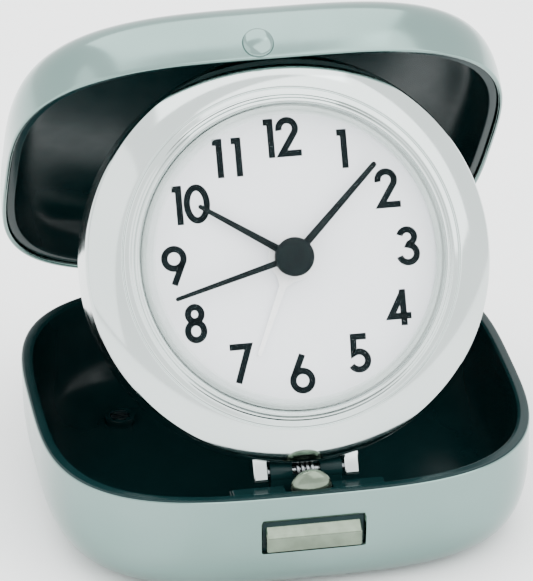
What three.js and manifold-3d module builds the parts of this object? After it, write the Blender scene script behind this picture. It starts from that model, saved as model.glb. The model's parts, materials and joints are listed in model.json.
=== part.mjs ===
// Folding travel alarm clock: two metal half shells with black liners, and a round quartz clock
// that tips up between them. Millimetres, +Z up, origin at the middle of the base's flat bottom,
// -Y towards the person reading the clock.
import * as THREE from 'three';
import { mergeVertices } from 'three/addons/utils/BufferGeometryUtils.js';
import Module from 'manifold-3d';

const wasm = await Module();
wasm.setup();

// ---------------------------------------------------------------- driving dimensions
const gap = 0.3; // between neighbours that only rest on each other
const runningClearance = 0.1; // around a pin or a tube that turns
const pressClearance = 0.02; // around what is pressed on and turns with it

const caseHalfWidth = 30;
const caseHalfDepth = 28.8;
const caseRoundness = 3.35; // exponent of the rounded square seen from above
const shellWall = 0.5;
const linerWall = 1;
const linerGap = 0.1;
const linerLip = 0.25; // black lip that covers the base shell's edge
const shellSetback = 0.2; // how far the metal stays inside the lip's outline

const baseShellHeight = 13.95;
const baseBottomInset = 11;
const basePillow = 3.9; // exponent of the section: higher is squarer
const lidHeight = 9.3;
const lidOverhang = 0.5; // how far the lid stands out past the base all round
const lidTopInset = 9.6;
const lidPillow = 3.2;

const lidOpenAngle = 51; // between the two rims
const lidHingeBehind = 1.5; // axis behind the case outline
const lidHingeDrop = 4.45; // axis under the base's rim
const lidKnuckleRadius = 1.3;
const lidPinRadius = 0.6;
const lidKnuckleHalfLength = 4.9; // middle knuckle, on the lid's leaf
const lidLeafHalfWidth = 11;
const leafThickness = 0.6;
const leafReach = 4.6;

const clockLean = 28.5; // back from upright
const clockPinY = -22.4;
const clockPinAboveRim = -0.1;
const clockPinRadius = 0.6;
const knuckleRadius = 1.3;
const knuckleHalfLength = 4.3;
const earThickness = 1.65;
const earRadius = 1.5;
const earSink = 0.2; // how far the ears stand in the ring's wall
const faceAbovePin = 24.8; // from the pin to the middle of the face, along the clock
const faceBeforePin = 3.3; // the bezel's edge plane in front of the pin

const bezelRadius = 24;
const bezelDepth = 9.5;
const bezelWall = 1;
const bezelDomeRadius = 9.8; // radius of the ring's domed band, seen in section
const bezelDomeMiddle = 17.4; // distance of the dome's crown from the middle of the face
const bezelCreaseRadius = 19.9;
const bezelCreaseHeight = 1.5;
const bezelBeadHeight = 2.6;
const bezelOpeningRadius = 17.9;
const drumBackRadius = 20.4;
const drumDepth = 13.6; // from the bezel's edge plane to the back
const drumWall = 1.2;
const crystalHeight = 5.1;
const crystalThickness = 0.8;
const dialHeight = 1.15;
const dialThickness = 0.4;

const handHub = 2.35;
const handThickness = 0.2;
const hourHandLength = 12.6;
const minuteHandLength = 14.7;
const secondHandLength = 14.8;
const alarmHandLength = 12.2;
const hourHandAngle = 303; // clockwise from twelve, as the hands stand
const minuteHandAngle = 46;
const secondHandAngle = 255;
const alarmHandAngle = 204;

const windowHalfWidth = 5.9;
const windowTop = 3.9; // under the rim
const windowBottom = 7.5;
const buttonClearance = 0.25;
const buttonTravel = 0.8;
const buttonTopSetback = 0.75; // its top edge behind the shell's face
const buttonNose = 0.45; // its nose in front of the shell's face
const buttonSlopeHeight = 1.2;
const catchHalfWidth = 2.45;
const catchHeight = 2.1;
const catchHalfDepth = 1.1;
const catchY = -26.6;

const wheelThickness = 0.6;
const layerPitch = 1.2;
const wheelTeeth = { centre: 48, third: 45, second: 36, motion: 24, hour: 32, alarm: 36 };
const pinionTeeth = { centre: 8, third: 6, second: 6, motion: 8, rotor: 6, alarm: 12 };
const thirdArborDistance = 6.63;
const motionArborDistance = 7.2;
const rotorArborDistance = 6.3;
const alarmArborDistance = 7.2;

const outlinePoints = 40;
const sectionSteps = 5;

// ---------------------------------------------------------------- places worked out
const rim = baseShellHeight + linerLip;
const lidAxisY = caseHalfDepth + lidHingeBehind;
const lidAxisZ = rim - lidHingeDrop;
const clockPinZ = rim + clockPinAboveRim;
const linerInset = shellSetback + shellWall + linerGap;
const cavityInset = linerInset + linerWall;
const innerFloor = shellWall + linerGap + linerWall;
const rad = THREE.MathUtils.degToRad;

// ---------------------------------------------------------------- solids
function solid(geometry) {
  const bare = geometry.index ? geometry.toNonIndexed() : geometry.clone();
  bare.deleteAttribute('normal');
  bare.deleteAttribute('uv');
  const merged = mergeVertices(bare, 1e-4);
  return new wasm.Manifold(new wasm.Mesh({
    numProp: 3,
    vertProperties: new Float32Array(merged.attributes.position.array),
    triVerts: new Uint32Array(merged.index.array),
  }));
}

function geometryOf(body) {
  const mesh = body.getMesh();
  const geometry = new THREE.BufferGeometry();
  geometry.setAttribute('position', new THREE.BufferAttribute(new Float32Array(mesh.vertProperties), 3));
  geometry.setIndex(new THREE.BufferAttribute(new Uint32Array(mesh.triVerts), 1));
  return geometry;
}

function block(x0, x1, y0, y1, z0, z1) {
  const geometry = new THREE.BoxGeometry(x1 - x0, y1 - y0, z1 - z0);
  geometry.translate((x0 + x1) / 2, (y0 + y1) / 2, (z0 + z1) / 2);
  return solid(geometry);
}

// Upright round bar from z0 to z1 at (x, y).
function bar(radius, x, y, z0, z1, segments = 16, topRadius = radius) {
  const geometry = new THREE.CylinderGeometry(topRadius, radius, z1 - z0, segments);
  geometry.rotateX(Math.PI / 2);
  geometry.translate(x, y, (z0 + z1) / 2);
  return solid(geometry);
}

// Round bar along X, between x0 and x1, round the axis at (y, z).
function crossBar(radius, x0, x1, y, z, segments = 20) {
  const geometry = new THREE.CylinderGeometry(radius, radius, x1 - x0, segments);
  geometry.rotateZ(Math.PI / 2);
  geometry.translate((x0 + x1) / 2, y, z);
  return solid(geometry);
}

// Round bar along Y, between y0 and y1, round the axis at (x, z).
function crossBarY(radius, x, y0, y1, z, segments = 20) {
  const geometry = new THREE.CylinderGeometry(radius, radius, y1 - y0, segments);
  geometry.translate(x, (y0 + y1) / 2, z);
  return solid(geometry);
}

function ellipsoid(x, y, z, rx, ry, rz, across = 20, down = 12) {
  const geometry = new THREE.SphereGeometry(1, across, down);
  geometry.scale(rx, ry, rz);
  geometry.translate(x, y, z);
  return solid(geometry);
}

// Body turned round Z from [radius, z] points, which run down the outside from the top.
function turned(profile, segments = 36) {
  const points = profile.map(([radius, z]) => new THREE.Vector2(radius, z));
  const geometry = new THREE.LatheGeometry(points, segments);
  geometry.rotateX(Math.PI / 2);
  const body = solid(geometry);
  return body.volume() < 0 ? solid(flipped(geometry)) : body;
}

function flipped(geometry) {
  const copy = geometry.toNonIndexed();
  const p = copy.attributes.position;
  for (let i = 0; i < p.count; i += 3) {
    const [x, y, z] = [p.getX(i), p.getY(i), p.getZ(i)];
    p.setXYZ(i, p.getX(i + 1), p.getY(i + 1), p.getZ(i + 1));
    p.setXYZ(i + 1, x, y, z);
  }
  return copy;
}

function washer(outer, inner, z0, z1, segments = 36) {
  return turned([[outer, z1], [outer, z0], [inner, z0], [inner, z1], [outer, z1]], segments);
}

// Rounded square |x/a|^n + |y/b|^n = 1, at `inset` inside the case outline.
function caseOutline(inset) {
  const points = [];
  for (let i = 0; i < outlinePoints; i += 1) {
    const t = (2 * Math.PI * i) / outlinePoints;
    const c = Math.cos(t);
    const s = Math.sin(t);
    points.push([
      Math.sign(c) * Math.abs(c) ** (2 / caseRoundness) * (caseHalfWidth - inset),
      Math.sign(s) * Math.abs(s) ** (2 / caseRoundness) * (caseHalfDepth - inset),
    ]);
  }
  return points;
}

// Solid through a stack of case outlines, each [inset, z], from the bottom up.
function stack(levels) {
  const positions = [];
  const corners = levels.map(([inset, z]) => caseOutline(inset).map(([x, y]) => [x, y, z]));
  const push = (...points) => points.forEach((point) => positions.push(...point));
  for (let k = 0; k + 1 < corners.length; k += 1) {
    for (let i = 0; i < outlinePoints; i += 1) {
      const j = (i + 1) % outlinePoints;
      push(corners[k][i], corners[k][j], corners[k + 1][j]);
      push(corners[k][i], corners[k + 1][j], corners[k + 1][i]);
    }
  }
  const low = [0, 0, levels[0][1]];
  const high = [0, 0, levels[levels.length - 1][1]];
  for (let i = 0; i < outlinePoints; i += 1) {
    const j = (i + 1) % outlinePoints;
    push(low, corners[0][j], corners[0][i]);
    push(high, corners[corners.length - 1][i], corners[corners.length - 1][j]);
  }
  const geometry = new THREE.BufferGeometry();
  geometry.setAttribute('position', new THREE.Float32BufferAttribute(positions, 3));
  return solid(geometry);
}

// Levels of a pillow wall: straight at the rim, rounding over to a flat `height` away.
// `way` is -1 for a tray under the rim and +1 for a cover over it.
function pillow(inset, height, edgeInset, exponent, start, way, beyond = 0) {
  const levels = [];
  if (beyond > 0) {
    levels.push([inset, start - way * beyond]);
  }
  for (let i = 0; i <= sectionSteps; i += 1) {
    const t = (Math.PI / 2) * (i / sectionSteps);
    levels.push([
      inset + (edgeInset - inset) * (1 - Math.cos(t) ** (2 / exponent)),
      start + way * height * Math.sin(t) ** (2 / exponent),
    ]);
  }
  return way < 0 ? levels.reverse() : levels;
}

function coil(radius, wire, turns, length, axisStart, along) {
  const points = [];
  const perTurn = 7;
  for (let i = 0; i <= turns * perTurn; i += 1) {
    const t = (2 * Math.PI * i) / perTurn;
    const advance = (length * i) / (turns * perTurn);
    const offset = new THREE.Vector3(radius * Math.cos(t), radius * Math.sin(t), advance);
    points.push(offset);
  }
  const section = new THREE.Shape();
  section.absarc(0, 0, wire, 0, 2 * Math.PI, false);
  const geometry = new THREE.ExtrudeGeometry(section, {
    steps: turns * perTurn,
    extrudePath: new THREE.CatmullRomCurve3(points),
    curveSegments: 2,
  });
  if (along === 'x') {
    geometry.rotateY(Math.PI / 2);
  } else {
    geometry.rotateX(-Math.PI / 2);
  }
  geometry.translate(...axisStart);
  return solid(geometry);
}

// Gear of straight-flanked teeth: `tipHalf` is half a tooth's width at its tip, in pitches.
function gear(teeth, pitchModule, z0, tipHalf = 0.05) {
  const shape = new THREE.Shape();
  const pitchRadius = (teeth * pitchModule) / 2;
  const tip = pitchRadius + 0.7 * pitchModule;
  const root = pitchRadius - 1.3 * pitchModule;
  const step = (2 * Math.PI) / teeth;
  for (let i = 0; i < teeth; i += 1) {
    const middle = i * step;
    const corners = [[root, -0.5], [tip, -tipHalf], [tip, tipHalf]];
    corners.forEach(([radius, at], k) => {
      const angle = middle + at * step;
      const point = [radius * Math.cos(angle), radius * Math.sin(angle)];
      if (i === 0 && k === 0) {
        shape.moveTo(...point);
      } else {
        shape.lineTo(...point);
      }
    });
  }
  const geometry = new THREE.ExtrudeGeometry(shape, { depth: wheelThickness, bevelEnabled: false });
  geometry.translate(0, 0, z0);
  return solid(geometry);
}

function meshModule(wheel, pinion, distance) {
  return (2 * distance) / (wheel + pinion);
}

// ---------------------------------------------------------------- materials
const finishes = {
  polishedMetal: { color: 0xb9c2bf, roughness: 0.16, metalness: 1 },
  chrome: { color: 0xe3e6e4, roughness: 0.08, metalness: 1 },
  nickel: { color: 0xb9b8a8, roughness: 0.25, metalness: 1 },
  blackPlastic: { color: 0x0b1514, roughness: 0.12, metalness: 0 },
  mattBlack: { color: 0x14191a, roughness: 0.5, metalness: 0 },
  dialWhite: { color: 0xeef1f5, roughness: 0.6, metalness: 0 },
  handBlack: { color: 0x10181a, roughness: 0.35, metalness: 0 },
  handWhite: { color: 0xf4f6f7, roughness: 0.35, metalness: 0 },
  clearPlastic: { color: 0xf4f8f8, roughness: 0.03, metalness: 0, transparent: true, opacity: 0.18 },
  steel: { color: 0x9a9da0, roughness: 0.3, metalness: 1 },
  brass: { color: 0xc9a659, roughness: 0.3, metalness: 1 },
  whitePlastic: { color: 0xe6e4dc, roughness: 0.5, metalness: 0 },
  greenBoard: { color: 0x1f5a3a, roughness: 0.5, metalness: 0 },
  copper: { color: 0xb4683c, roughness: 0.35, metalness: 1 },
};

const assembly = new THREE.Group();

function put(parent, name, body, finish) {
  const mesh = new THREE.Mesh(geometryOf(body), new THREE.MeshStandardMaterial(finishes[finish]));
  mesh.name = name;
  parent.add(mesh);
  return mesh;
}

// ---------------------------------------------------------------- base
const base = new THREE.Group();
assembly.add(base);

const buttonWindow = block(-windowHalfWidth, windowHalfWidth, -caseHalfDepth - 2, -caseHalfDepth + 6,
  rim - windowBottom, rim - windowTop);
const baseOuter = stack(pillow(shellSetback, baseShellHeight, baseBottomInset, basePillow,
  baseShellHeight, -1));
const baseInner = stack(pillow(shellSetback + shellWall, baseShellHeight - shellWall, baseBottomInset,
  basePillow, baseShellHeight, -1, 2));
put(base, 'base_shell', baseOuter.subtract(baseInner).subtract(buttonWindow), 'polishedMetal');

const linerBody = stack(pillow(linerInset, baseShellHeight - shellWall - linerGap, baseBottomInset,
  basePillow, baseShellHeight, -1));
const lipBody = stack([[0, baseShellHeight + 0.02], [0, rim - 0.2], [0.2, rim]]);
const linerNeck = stack([[linerInset, baseShellHeight - 1], [linerInset, rim - 0.1]]);
const cavity = stack(pillow(cavityInset, rim - innerFloor, baseBottomInset, basePillow, rim, -1, 2));

const frontWallInside = -caseHalfDepth + cavityInset - 0.3;
const ledgeHalfWidth = 9;
const ledgeBack = clockPinY - earRadius - gap;
const deckTop = rim - 2.2;
const ledgeTop = rim - 1;
const deckBack = clockPinY + 0.2;
const housing = block(-ledgeHalfWidth, ledgeHalfWidth, frontWallInside, deckBack, innerFloor - 0.2, deckTop)
  .add(block(-ledgeHalfWidth, ledgeHalfWidth, frontWallInside, ledgeBack, innerFloor - 0.2, ledgeTop))
  .intersect(linerBody.add(linerNeck));
const post = block(-knuckleHalfLength, knuckleHalfLength, clockPinY - knuckleRadius, deckBack,
  innerFloor, clockPinZ)
  .add(crossBar(knuckleRadius, -knuckleHalfLength, knuckleHalfLength, clockPinY, clockPinZ));

const buttonBack = -caseHalfDepth + 3.3;
const stemBack = catchY + 1.2;
const latchRoomBack = stemBack + buttonTravel + gap;
const latchRoom = block(-windowHalfWidth - 0.4, windowHalfWidth + 0.4, -caseHalfDepth - 1, latchRoomBack,
  rim - windowBottom - 0.4, rim - windowTop + 0.4)
  .add(block(-catchHalfWidth - gap, catchHalfWidth + gap, catchY - catchHalfDepth - gap, latchRoomBack,
    rim - windowTop, rim + 1));
const springSeat = crossBarY(1.7, 0, stemBack + buttonTravel - 2, stemBack + buttonTravel + 4,
  rim - (windowTop + windowBottom) / 2, 16);
const springHalfWidth = 1.6;

const screwPlaces = [[-16.8, 15.6], [16.8, 15.6], [-16.8, -12.2], [16.8, -12.2]];
const screwBossRadius = 1.9;
const screwRadius = 1.1;
let baseLiner = linerBody.add(lipBody).add(linerNeck).subtract(cavity).add(housing).add(post);
for (const [x, y] of screwPlaces) {
  baseLiner = baseLiner.add(bar(screwBossRadius, x, y, innerFloor - 0.3, innerFloor + 0.9, 20));
}
for (const [x, y] of screwPlaces) {
  const screwHole = bar(screwRadius + runningClearance, x, y, shellWall + linerGap + 0.3, rim, 16);
  baseLiner = baseLiner.subtract(screwHole);
}
const floorWell = bar(bezelRadius - 1.9, 0, clockPinY + faceAbovePin, innerFloor - 0.4, innerFloor + 0.2, 36)
  .subtract(screwPlaces.map(([x, y]) => bar(screwBossRadius, x, y, 0, rim, 20)).reduce((a, b) => a.add(b)))
  .subtract(block(-ledgeHalfWidth, ledgeHalfWidth, -caseHalfDepth, deckBack, 0, rim));
baseLiner = baseLiner
  .subtract(floorWell)
  .subtract(latchRoom)
  .subtract(springSeat)
  .subtract(crossBar(clockPinRadius + runningClearance, -knuckleHalfLength - 1, knuckleHalfLength + 1,
    clockPinY, clockPinZ))
  .subtract(crossBar(knuckleRadius + 0.4, -springHalfWidth, springHalfWidth, clockPinY, clockPinZ));
put(base, 'base_liner', baseLiner, 'blackPlastic');

screwPlaces.forEach(([x, y], i) => {
  const slot = block(x - 1.2, x + 1.2, y - 0.18, y + 0.18, innerFloor + 0.55, innerFloor + 1);
  const screw = bar(screwRadius, x, y, shellWall + linerGap + 0.4, innerFloor + 0.8, 16).subtract(slot);
  put(base, `liner_screw_${i + 1}`, screw, 'steel');
});

put(base, 'clock_hinge_pin', crossBar(clockPinRadius, -knuckleHalfLength - earThickness - 0.2,
  knuckleHalfLength + earThickness + 0.2, clockPinY, clockPinZ, 16), 'steel');
put(base, 'clock_spring', coil(0.98, 0.2, 4, 2 * springHalfWidth - 0.9,
  [-springHalfWidth + 0.45, clockPinY, clockPinZ], 'x'), 'steel');

// The base's hinge leaf lies on the outside of the back wall, with two knuckles.
const leafFront = caseHalfDepth + 0.15;
const knucklesOfBase = [-1, 1].map((side) => {
  const [a, b] = [lidKnuckleHalfLength + 0.2, lidLeafHalfWidth].map((x) => side * x).sort((p, q) => p - q);
  return crossBar(lidKnuckleRadius, a, b, lidAxisY, lidAxisZ)
    .add(block(a, b, leafFront, leafFront + leafThickness, lidAxisZ - 2, lidAxisZ));
});
const baseLeaf = block(-lidLeafHalfWidth, lidLeafHalfWidth, leafFront, leafFront + leafThickness,
  lidAxisZ - leafReach, lidAxisZ - lidKnuckleRadius - gap)
  .add(knucklesOfBase[0]).add(knucklesOfBase[1])
  .subtract(crossBar(lidPinRadius + 0.02, -lidLeafHalfWidth - 1, lidLeafHalfWidth + 1,
    lidAxisY, lidAxisZ, 16));
put(base, 'base_hinge_leaf', baseLeaf, 'chrome');
put(base, 'lid_hinge_pin', crossBar(lidPinRadius, -lidLeafHalfWidth, lidLeafHalfWidth,
  lidAxisY, lidAxisZ, 16), 'steel');

// ---------------------------------------------------------------- latch
const latch = new THREE.Group();
assembly.add(latch);

function releaseButton() {
  const half = windowHalfWidth - buttonClearance;
  const high = rim - windowTop - buttonClearance;
  const low = rim - windowBottom + buttonClearance;
  const face = -caseHalfDepth + shellSetback;
  const section = new THREE.Shape();
  section.moveTo(buttonBack, high);
  section.lineTo(face + buttonTopSetback, high);
  section.lineTo(face - buttonNose, high - buttonSlopeHeight);
  section.lineTo(face - buttonNose + 0.1, low);
  section.lineTo(buttonBack, low);
  const geometry = new THREE.ExtrudeGeometry(section, { depth: 2 * half, bevelEnabled: false });
  geometry.applyMatrix4(new THREE.Matrix4().set(0, 0, 1, -half, 1, 0, 0, 0, 0, 1, 0, 0, 0, 0, 0, 1));
  return solid(geometry);
}

put(latch, 'release_button', releaseButton(), 'nickel');
const stem = block(-catchHalfWidth, catchHalfWidth, buttonBack + 0.02, stemBack,
  rim - windowBottom + 0.6, rim - 0.2)
  .add(block(-catchHalfWidth, catchHalfWidth, catchY - catchHalfDepth + 0.3, stemBack,
    rim - windowTop + 0.1, rim - 0.2));
const dome = ellipsoid(0, catchY, rim - 0.2, catchHalfWidth, catchHalfDepth, catchHeight + 0.2, 16, 10)
  .subtract(block(-9, 9, -40, 0, 0, rim - 0.25));
put(latch, 'catch_dome', stem.add(dome), 'nickel');
put(latch, 'latch_spring', coil(1.1, 0.18, 3, 1.5,
  [0, stemBack + 0.25, rim - (windowTop + windowBottom) / 2], 'y'), 'steel');

// ---------------------------------------------------------------- lid
// Built shut, as it lies on the base, then opened round its hinge axis.
const lid = new THREE.Group();
lid.position.set(0, lidAxisY, lidAxisZ);
lid.rotation.x = -rad(lidOpenAngle);
assembly.add(lid);
const lidShut = new THREE.Group();
lidShut.position.set(0, -lidAxisY, -lidAxisZ);
lid.add(lidShut);

const lidStart = rim + 0.1;
const bumpPlace = [-1.7, 2.1]; // across, and above the rim
const bumpRadius = 2.1;
const bumpRise = 0.8;
const lidSkin = (inset) => stack(pillow(inset - lidOverhang, lidHeight - (inset - shellSetback), lidTopInset,
  lidPillow, lidStart, 1, inset > shellSetback ? 2 : 0));
const bump = (sink) => ellipsoid(bumpPlace[0], -caseHalfDepth - lidOverhang + shellSetback + 0.1 + sink,
  rim + bumpPlace[1], bumpRadius - sink, bumpRise + 0.1, bumpRadius - sink, 14, 8)
  .subtract(block(-5, 5, -40, 0, rim - 5, lidStart + 0.25));
put(lidShut, 'lid_shell', lidSkin(shellSetback).add(bump(0)).subtract(lidSkin(shellSetback + shellWall))
  .subtract(bump(shellWall)), 'polishedMetal');
const lidLinerStart = lidStart + 0.5;
const lidLiningHeight = lidHeight - 0.5;
const lidLining = (inset, extra) => stack(pillow(inset - lidOverhang,
  lidLiningHeight - (inset - shellSetback),
  lidTopInset, lidPillow, lidLinerStart, 1, extra));
const keeperRoom = block(-catchHalfWidth - gap, catchHalfWidth + gap, -40, catchY + 2, rim - 1,
  rim + catchHeight + 0.6);
put(lidShut, 'lid_liner', lidLining(linerInset, 0).subtract(lidLining(cavityInset, 2)).subtract(keeperRoom),
  'blackPlastic');

const lidLeafFront = caseHalfDepth + lidOverhang - shellSetback + 0.05;
const lidLeaf = block(-lidLeafHalfWidth, lidLeafHalfWidth, lidLeafFront, lidLeafFront + leafThickness,
  rim + 0.6, rim + leafReach)
  .add(block(-lidKnuckleHalfLength, lidKnuckleHalfLength, lidLeafFront, lidLeafFront + leafThickness,
    lidAxisZ, rim + leafReach))
  .add(crossBar(lidKnuckleRadius, -lidKnuckleHalfLength, lidKnuckleHalfLength, lidAxisY, lidAxisZ))
  .subtract(crossBar(lidPinRadius + runningClearance, -lidLeafHalfWidth, lidLeafHalfWidth,
    lidAxisY, lidAxisZ, 16));
put(lidShut, 'lid_hinge_leaf', lidLeaf, 'chrome');

// ---------------------------------------------------------------- clock
// Local frame: origin in the middle of the face, +Y to twelve o'clock, +Z out of the face.
const clock = new THREE.Group();
clock.position.set(0, clockPinY, clockPinZ);
clock.rotation.x = rad(90 - clockLean);
assembly.add(clock);
const face = new THREE.Group();
face.position.set(0, faceAbovePin, faceBeforePin);
clock.add(face);

const pinY = -faceAbovePin;
const pinZ = -faceBeforePin;
const earInner = knuckleHalfLength + gap;
const domeRise = (r) => Math.sqrt(bezelDomeRadius ** 2 - (r - bezelDomeMiddle) ** 2);
const bandStart = bezelCreaseRadius + 0.15;
const bandWidth = bezelRadius - 0.45 - bandStart;
const bezelEdge = [0, 0.25, 0.5, 0.75, 1].map((share) => {
  const r = bandStart + share * bandWidth;
  return [r, bezelCreaseHeight + domeRise(r) - domeRise(bandStart)];
});
bezelEdge.push([bezelRadius, -1.3]);
const bezelTurned = turned([
  [bezelOpeningRadius, bezelBeadHeight - 0.35],
  [bezelOpeningRadius + 0.3, bezelBeadHeight],
  [bezelOpeningRadius + 0.8, bezelBeadHeight - 0.3],
  [bezelOpeningRadius + 1, bezelCreaseHeight + 0.35],
  [bezelCreaseRadius, bezelCreaseHeight],
  ...bezelEdge,
  [bezelRadius, -bezelDepth],
  [bezelRadius - bezelWall, -bezelDepth],
  [bezelRadius - bezelWall, -0.5],
  [bezelOpeningRadius, 0.3],
  [bezelOpeningRadius, bezelBeadHeight - 0.35],
], 36);
const ears = [-1, 1].map((side) => {
  const [a, b] = [earInner, earInner + earThickness].map((x) => side * x).sort((p, q) => p - q);
  const earRoot = -Math.sqrt((bezelRadius - earSink) ** 2 - (earInner + earThickness) ** 2);
  return crossBar(earRadius, a, b, pinY, pinZ)
    .add(block(a, b, pinY, earRoot, pinZ - earRadius, pinZ + earRadius));
});
const bezel = bezelTurned.add(ears[0]).add(ears[1])
  .subtract(crossBar(knuckleRadius + gap, -earInner, earInner, pinY, pinZ))
  .subtract(crossBar(clockPinRadius + 0.05, -10, 10, pinY, pinZ, 16));
put(face, 'bezel_ring', bezel, 'chrome');

const crystalRadius = bezelOpeningRadius - 0.08;
put(face, 'crystal', turned([
  [0, crystalHeight],
  [crystalRadius - 1.5, crystalHeight - 0.1],
  [crystalRadius - 0.35, crystalHeight - 0.6],
  [crystalRadius, crystalHeight - 1.4],
  [crystalRadius, bezelBeadHeight - 1],
  [crystalRadius - crystalThickness, bezelBeadHeight - 1],
  [crystalRadius - crystalThickness, crystalHeight - 1.6],
  [crystalRadius - 1.7, crystalHeight - 0.1 - crystalThickness],
  [0, crystalHeight - crystalThickness],
]), 'clearPlastic');
put(face, 'reflector_ring', washer(crystalRadius, crystalRadius - 0.7, dialHeight + 0.05,
  bezelBeadHeight - 1.05), 'chrome');

const tube = { second: 0.3, minute: 0.75, hour: 1.2, alarm: 1.65 };
const dialHole = tube.alarm + 0.25;
put(face, 'dial', washer(bezelOpeningRadius - 0.1, dialHole, dialHeight - dialThickness, dialHeight),
  'dialWhite');

const drumRadius = bezelRadius - bezelWall - 0.1;
const backInside = -drumDepth + drumWall;
const knobPlaces = {
  time: [-motionArborDistance * Math.SQRT1_2, -motionArborDistance * Math.SQRT1_2],
  alarm: [alarmArborDistance * Math.SQRT1_2, -alarmArborDistance * Math.SQRT1_2],
};
const cellRadius = 5.8;
const cellThickness = 5.4;
const cellPlace = [-13.2, 4.5];
const cellBack = backInside + 0.4;
const coverHalf = 6.6;
const switchPlace = [8, 13.5];
const switchTravel = 2;
const drum = turned([
  [drumRadius, -0.8],
  [drumRadius, -bezelDepth - 0.2],
  [drumBackRadius, -drumDepth],
  [0, -drumDepth],
  [0, backInside],
  [drumBackRadius - 0.8, backInside],
  [drumRadius - drumWall, -bezelDepth],
  [drumRadius - drumWall, -0.8],
  [drumRadius, -0.8],
])
  .subtract(bar(1, ...knobPlaces.time, -20, backInside + 1, 14))
  .subtract(bar(1, ...knobPlaces.alarm, -20, backInside + 1, 14))
  .subtract(bar(cellRadius + 0.2, ...cellPlace, -20, backInside + 1, 24))
  .subtract(block(switchPlace[0] - 1, switchPlace[0] + switchTravel + 1, switchPlace[1] - 0.7,
    switchPlace[1] + 0.7, -20, backInside + 1))
  .subtract(crossBar(knuckleRadius + gap, -earInner, earInner, pinY, pinZ))
  .subtract(crossBar(earRadius + 0.2, -earInner - earThickness - 0.2, earInner + earThickness + 0.2,
    pinY, pinZ));
put(face, 'drum_case', drum, 'mattBlack');

const cover = block(cellPlace[0] - coverHalf, cellPlace[0] + coverHalf, cellPlace[1] - coverHalf,
  cellPlace[1] + coverHalf, -drumDepth - 0.9, -drumDepth - 0.1)
  .intersect(bar(drumBackRadius - 0.1, 0, 0, -20, 0, 36));
const gripPitch = 1.2;
const coverGrip = [0, 1, 2].map((i) => block(cellPlace[0] - 2.5, cellPlace[0] + 2.5,
  cellPlace[1] - 3 + i * gripPitch, cellPlace[1] - 2.5 + i * gripPitch, -drumDepth - 1, -drumDepth - 0.8));
put(face, 'battery_cover', coverGrip.reduce((body, grip) => body.subtract(grip), cover), 'mattBlack');

// ---------------------------------------------------------------- movement
const plateRadius = 20.6;
const frontPlateRadius = 17.4;
const frontPlateBack = -0.5;
const backPlateFront = -9.8;
const backPlateBack = -10.4;
const layer = (n) => frontPlateBack - 0.5 - n * layerPitch - wheelThickness;
const pillarAngles = [60, 200, 275];
const pillarDistance = 15.8;
const pillars = pillarAngles.map((angle) => bar(1.2, pillarDistance * Math.cos(rad(angle)),
  pillarDistance * Math.sin(rad(angle)), backPlateFront + 0.1, frontPlateBack + 0.2, 14));
const arbors = {
  third: [0, thirdArborDistance],
  motion: knobPlaces.time,
  alarm: knobPlaces.alarm,
  rotor: [rotorArborDistance, 0],
};
let frontPlate = washer(frontPlateRadius, tube.alarm + 0.25, frontPlateBack, 0.45);
for (const pillar of pillars) {
  frontPlate = frontPlate.add(pillar);
}
for (const [x, y] of [arbors.third, arbors.motion, arbors.alarm]) {
  frontPlate = frontPlate.subtract(bar(0.45 + runningClearance, x, y, -2, 2, 16));
}
put(face, 'movement_front_plate', frontPlate, 'whitePlastic');

let backPlate = bar(plateRadius, 0, 0, backPlateBack, backPlateFront, 36)
  .subtract(bar(cellRadius + 0.5, ...cellPlace, -20, 0, 32));
for (const [x, y] of [[0, 0], arbors.third, arbors.motion, arbors.alarm, arbors.rotor]) {
  backPlate = backPlate.subtract(bar(0.45 + runningClearance, x, y, -20, 0, 16));
}
put(face, 'movement_back_plate', backPlate, 'whitePlastic');

put(face, 'circuit_board', block(-2, 12, 3, 15, backPlateBack - 0.9, backPlateBack - 0.1)
  .subtract(bar(1.4, ...arbors.third, -20, 0, 16)), 'greenBoard');
put(face, 'buzzer', bar(6, 2.5, -13, backPlateBack - 1.1, backPlateBack - 0.3, 32), 'brass');
put(face, 'quartz_can', crossBar(0.8, -1, 5, 16.3, backPlateBack - 0.95, 12), 'steel');
put(face, 'button_cell', bar(cellRadius, ...cellPlace, cellBack, cellBack + cellThickness, 32), 'steel');
put(face, 'battery_contact_front', block(cellPlace[0] - 3, cellPlace[0] + 3, cellPlace[1] - 1,
  cellPlace[1] + 1, cellBack + cellThickness + 0.05, cellBack + cellThickness + 0.25), 'brass');
put(face, 'battery_contact_side', block(cellPlace[0] + cellRadius + 0.05, cellPlace[0] + cellRadius + 0.3,
  cellPlace[1] - 2, cellPlace[1] + 2, cellBack + 0.4, cellBack + 1.2), 'brass');

const stepperBack = -9.5;
const stepperFront = -8.4;
const coilPlace = 13.6;
put(face, 'motor_coil', crossBarY(1.9, coilPlace, -6, 6, -7.75), 'copper');
put(face, 'motor_stator', block(2.4, coilPlace + 2, -3.6, 3.6, stepperBack + 0.2, stepperFront - 0.2)
  .subtract(block(coilPlace - 2.3, coilPlace + 3, -9, 9, -20, 0))
  .add(block(9, coilPlace + 1.5, 3, 8.2, stepperBack + 0.2, stepperFront - 0.2)
    .subtract(block(coilPlace - 2.3, coilPlace + 3, -9, 6.3, -20, 0)))
  .add(block(9, coilPlace + 1.5, -8.2, -3, stepperBack + 0.2, stepperFront - 0.2)
    .subtract(block(coilPlace - 2.3, coilPlace + 3, -6.3, 9, -20, 0)))
  .subtract(bar(2.9, ...arbors.rotor, -20, 0, 24)), 'steel');

// Wheels on arbors of their own are built round the origin and then moved to their arbor.
function wheelGroup(place, turn) {
  const group = new THREE.Group();
  group.position.set(place[0], place[1], 0);
  group.rotation.z = turn;
  face.add(group);
  return group;
}

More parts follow.
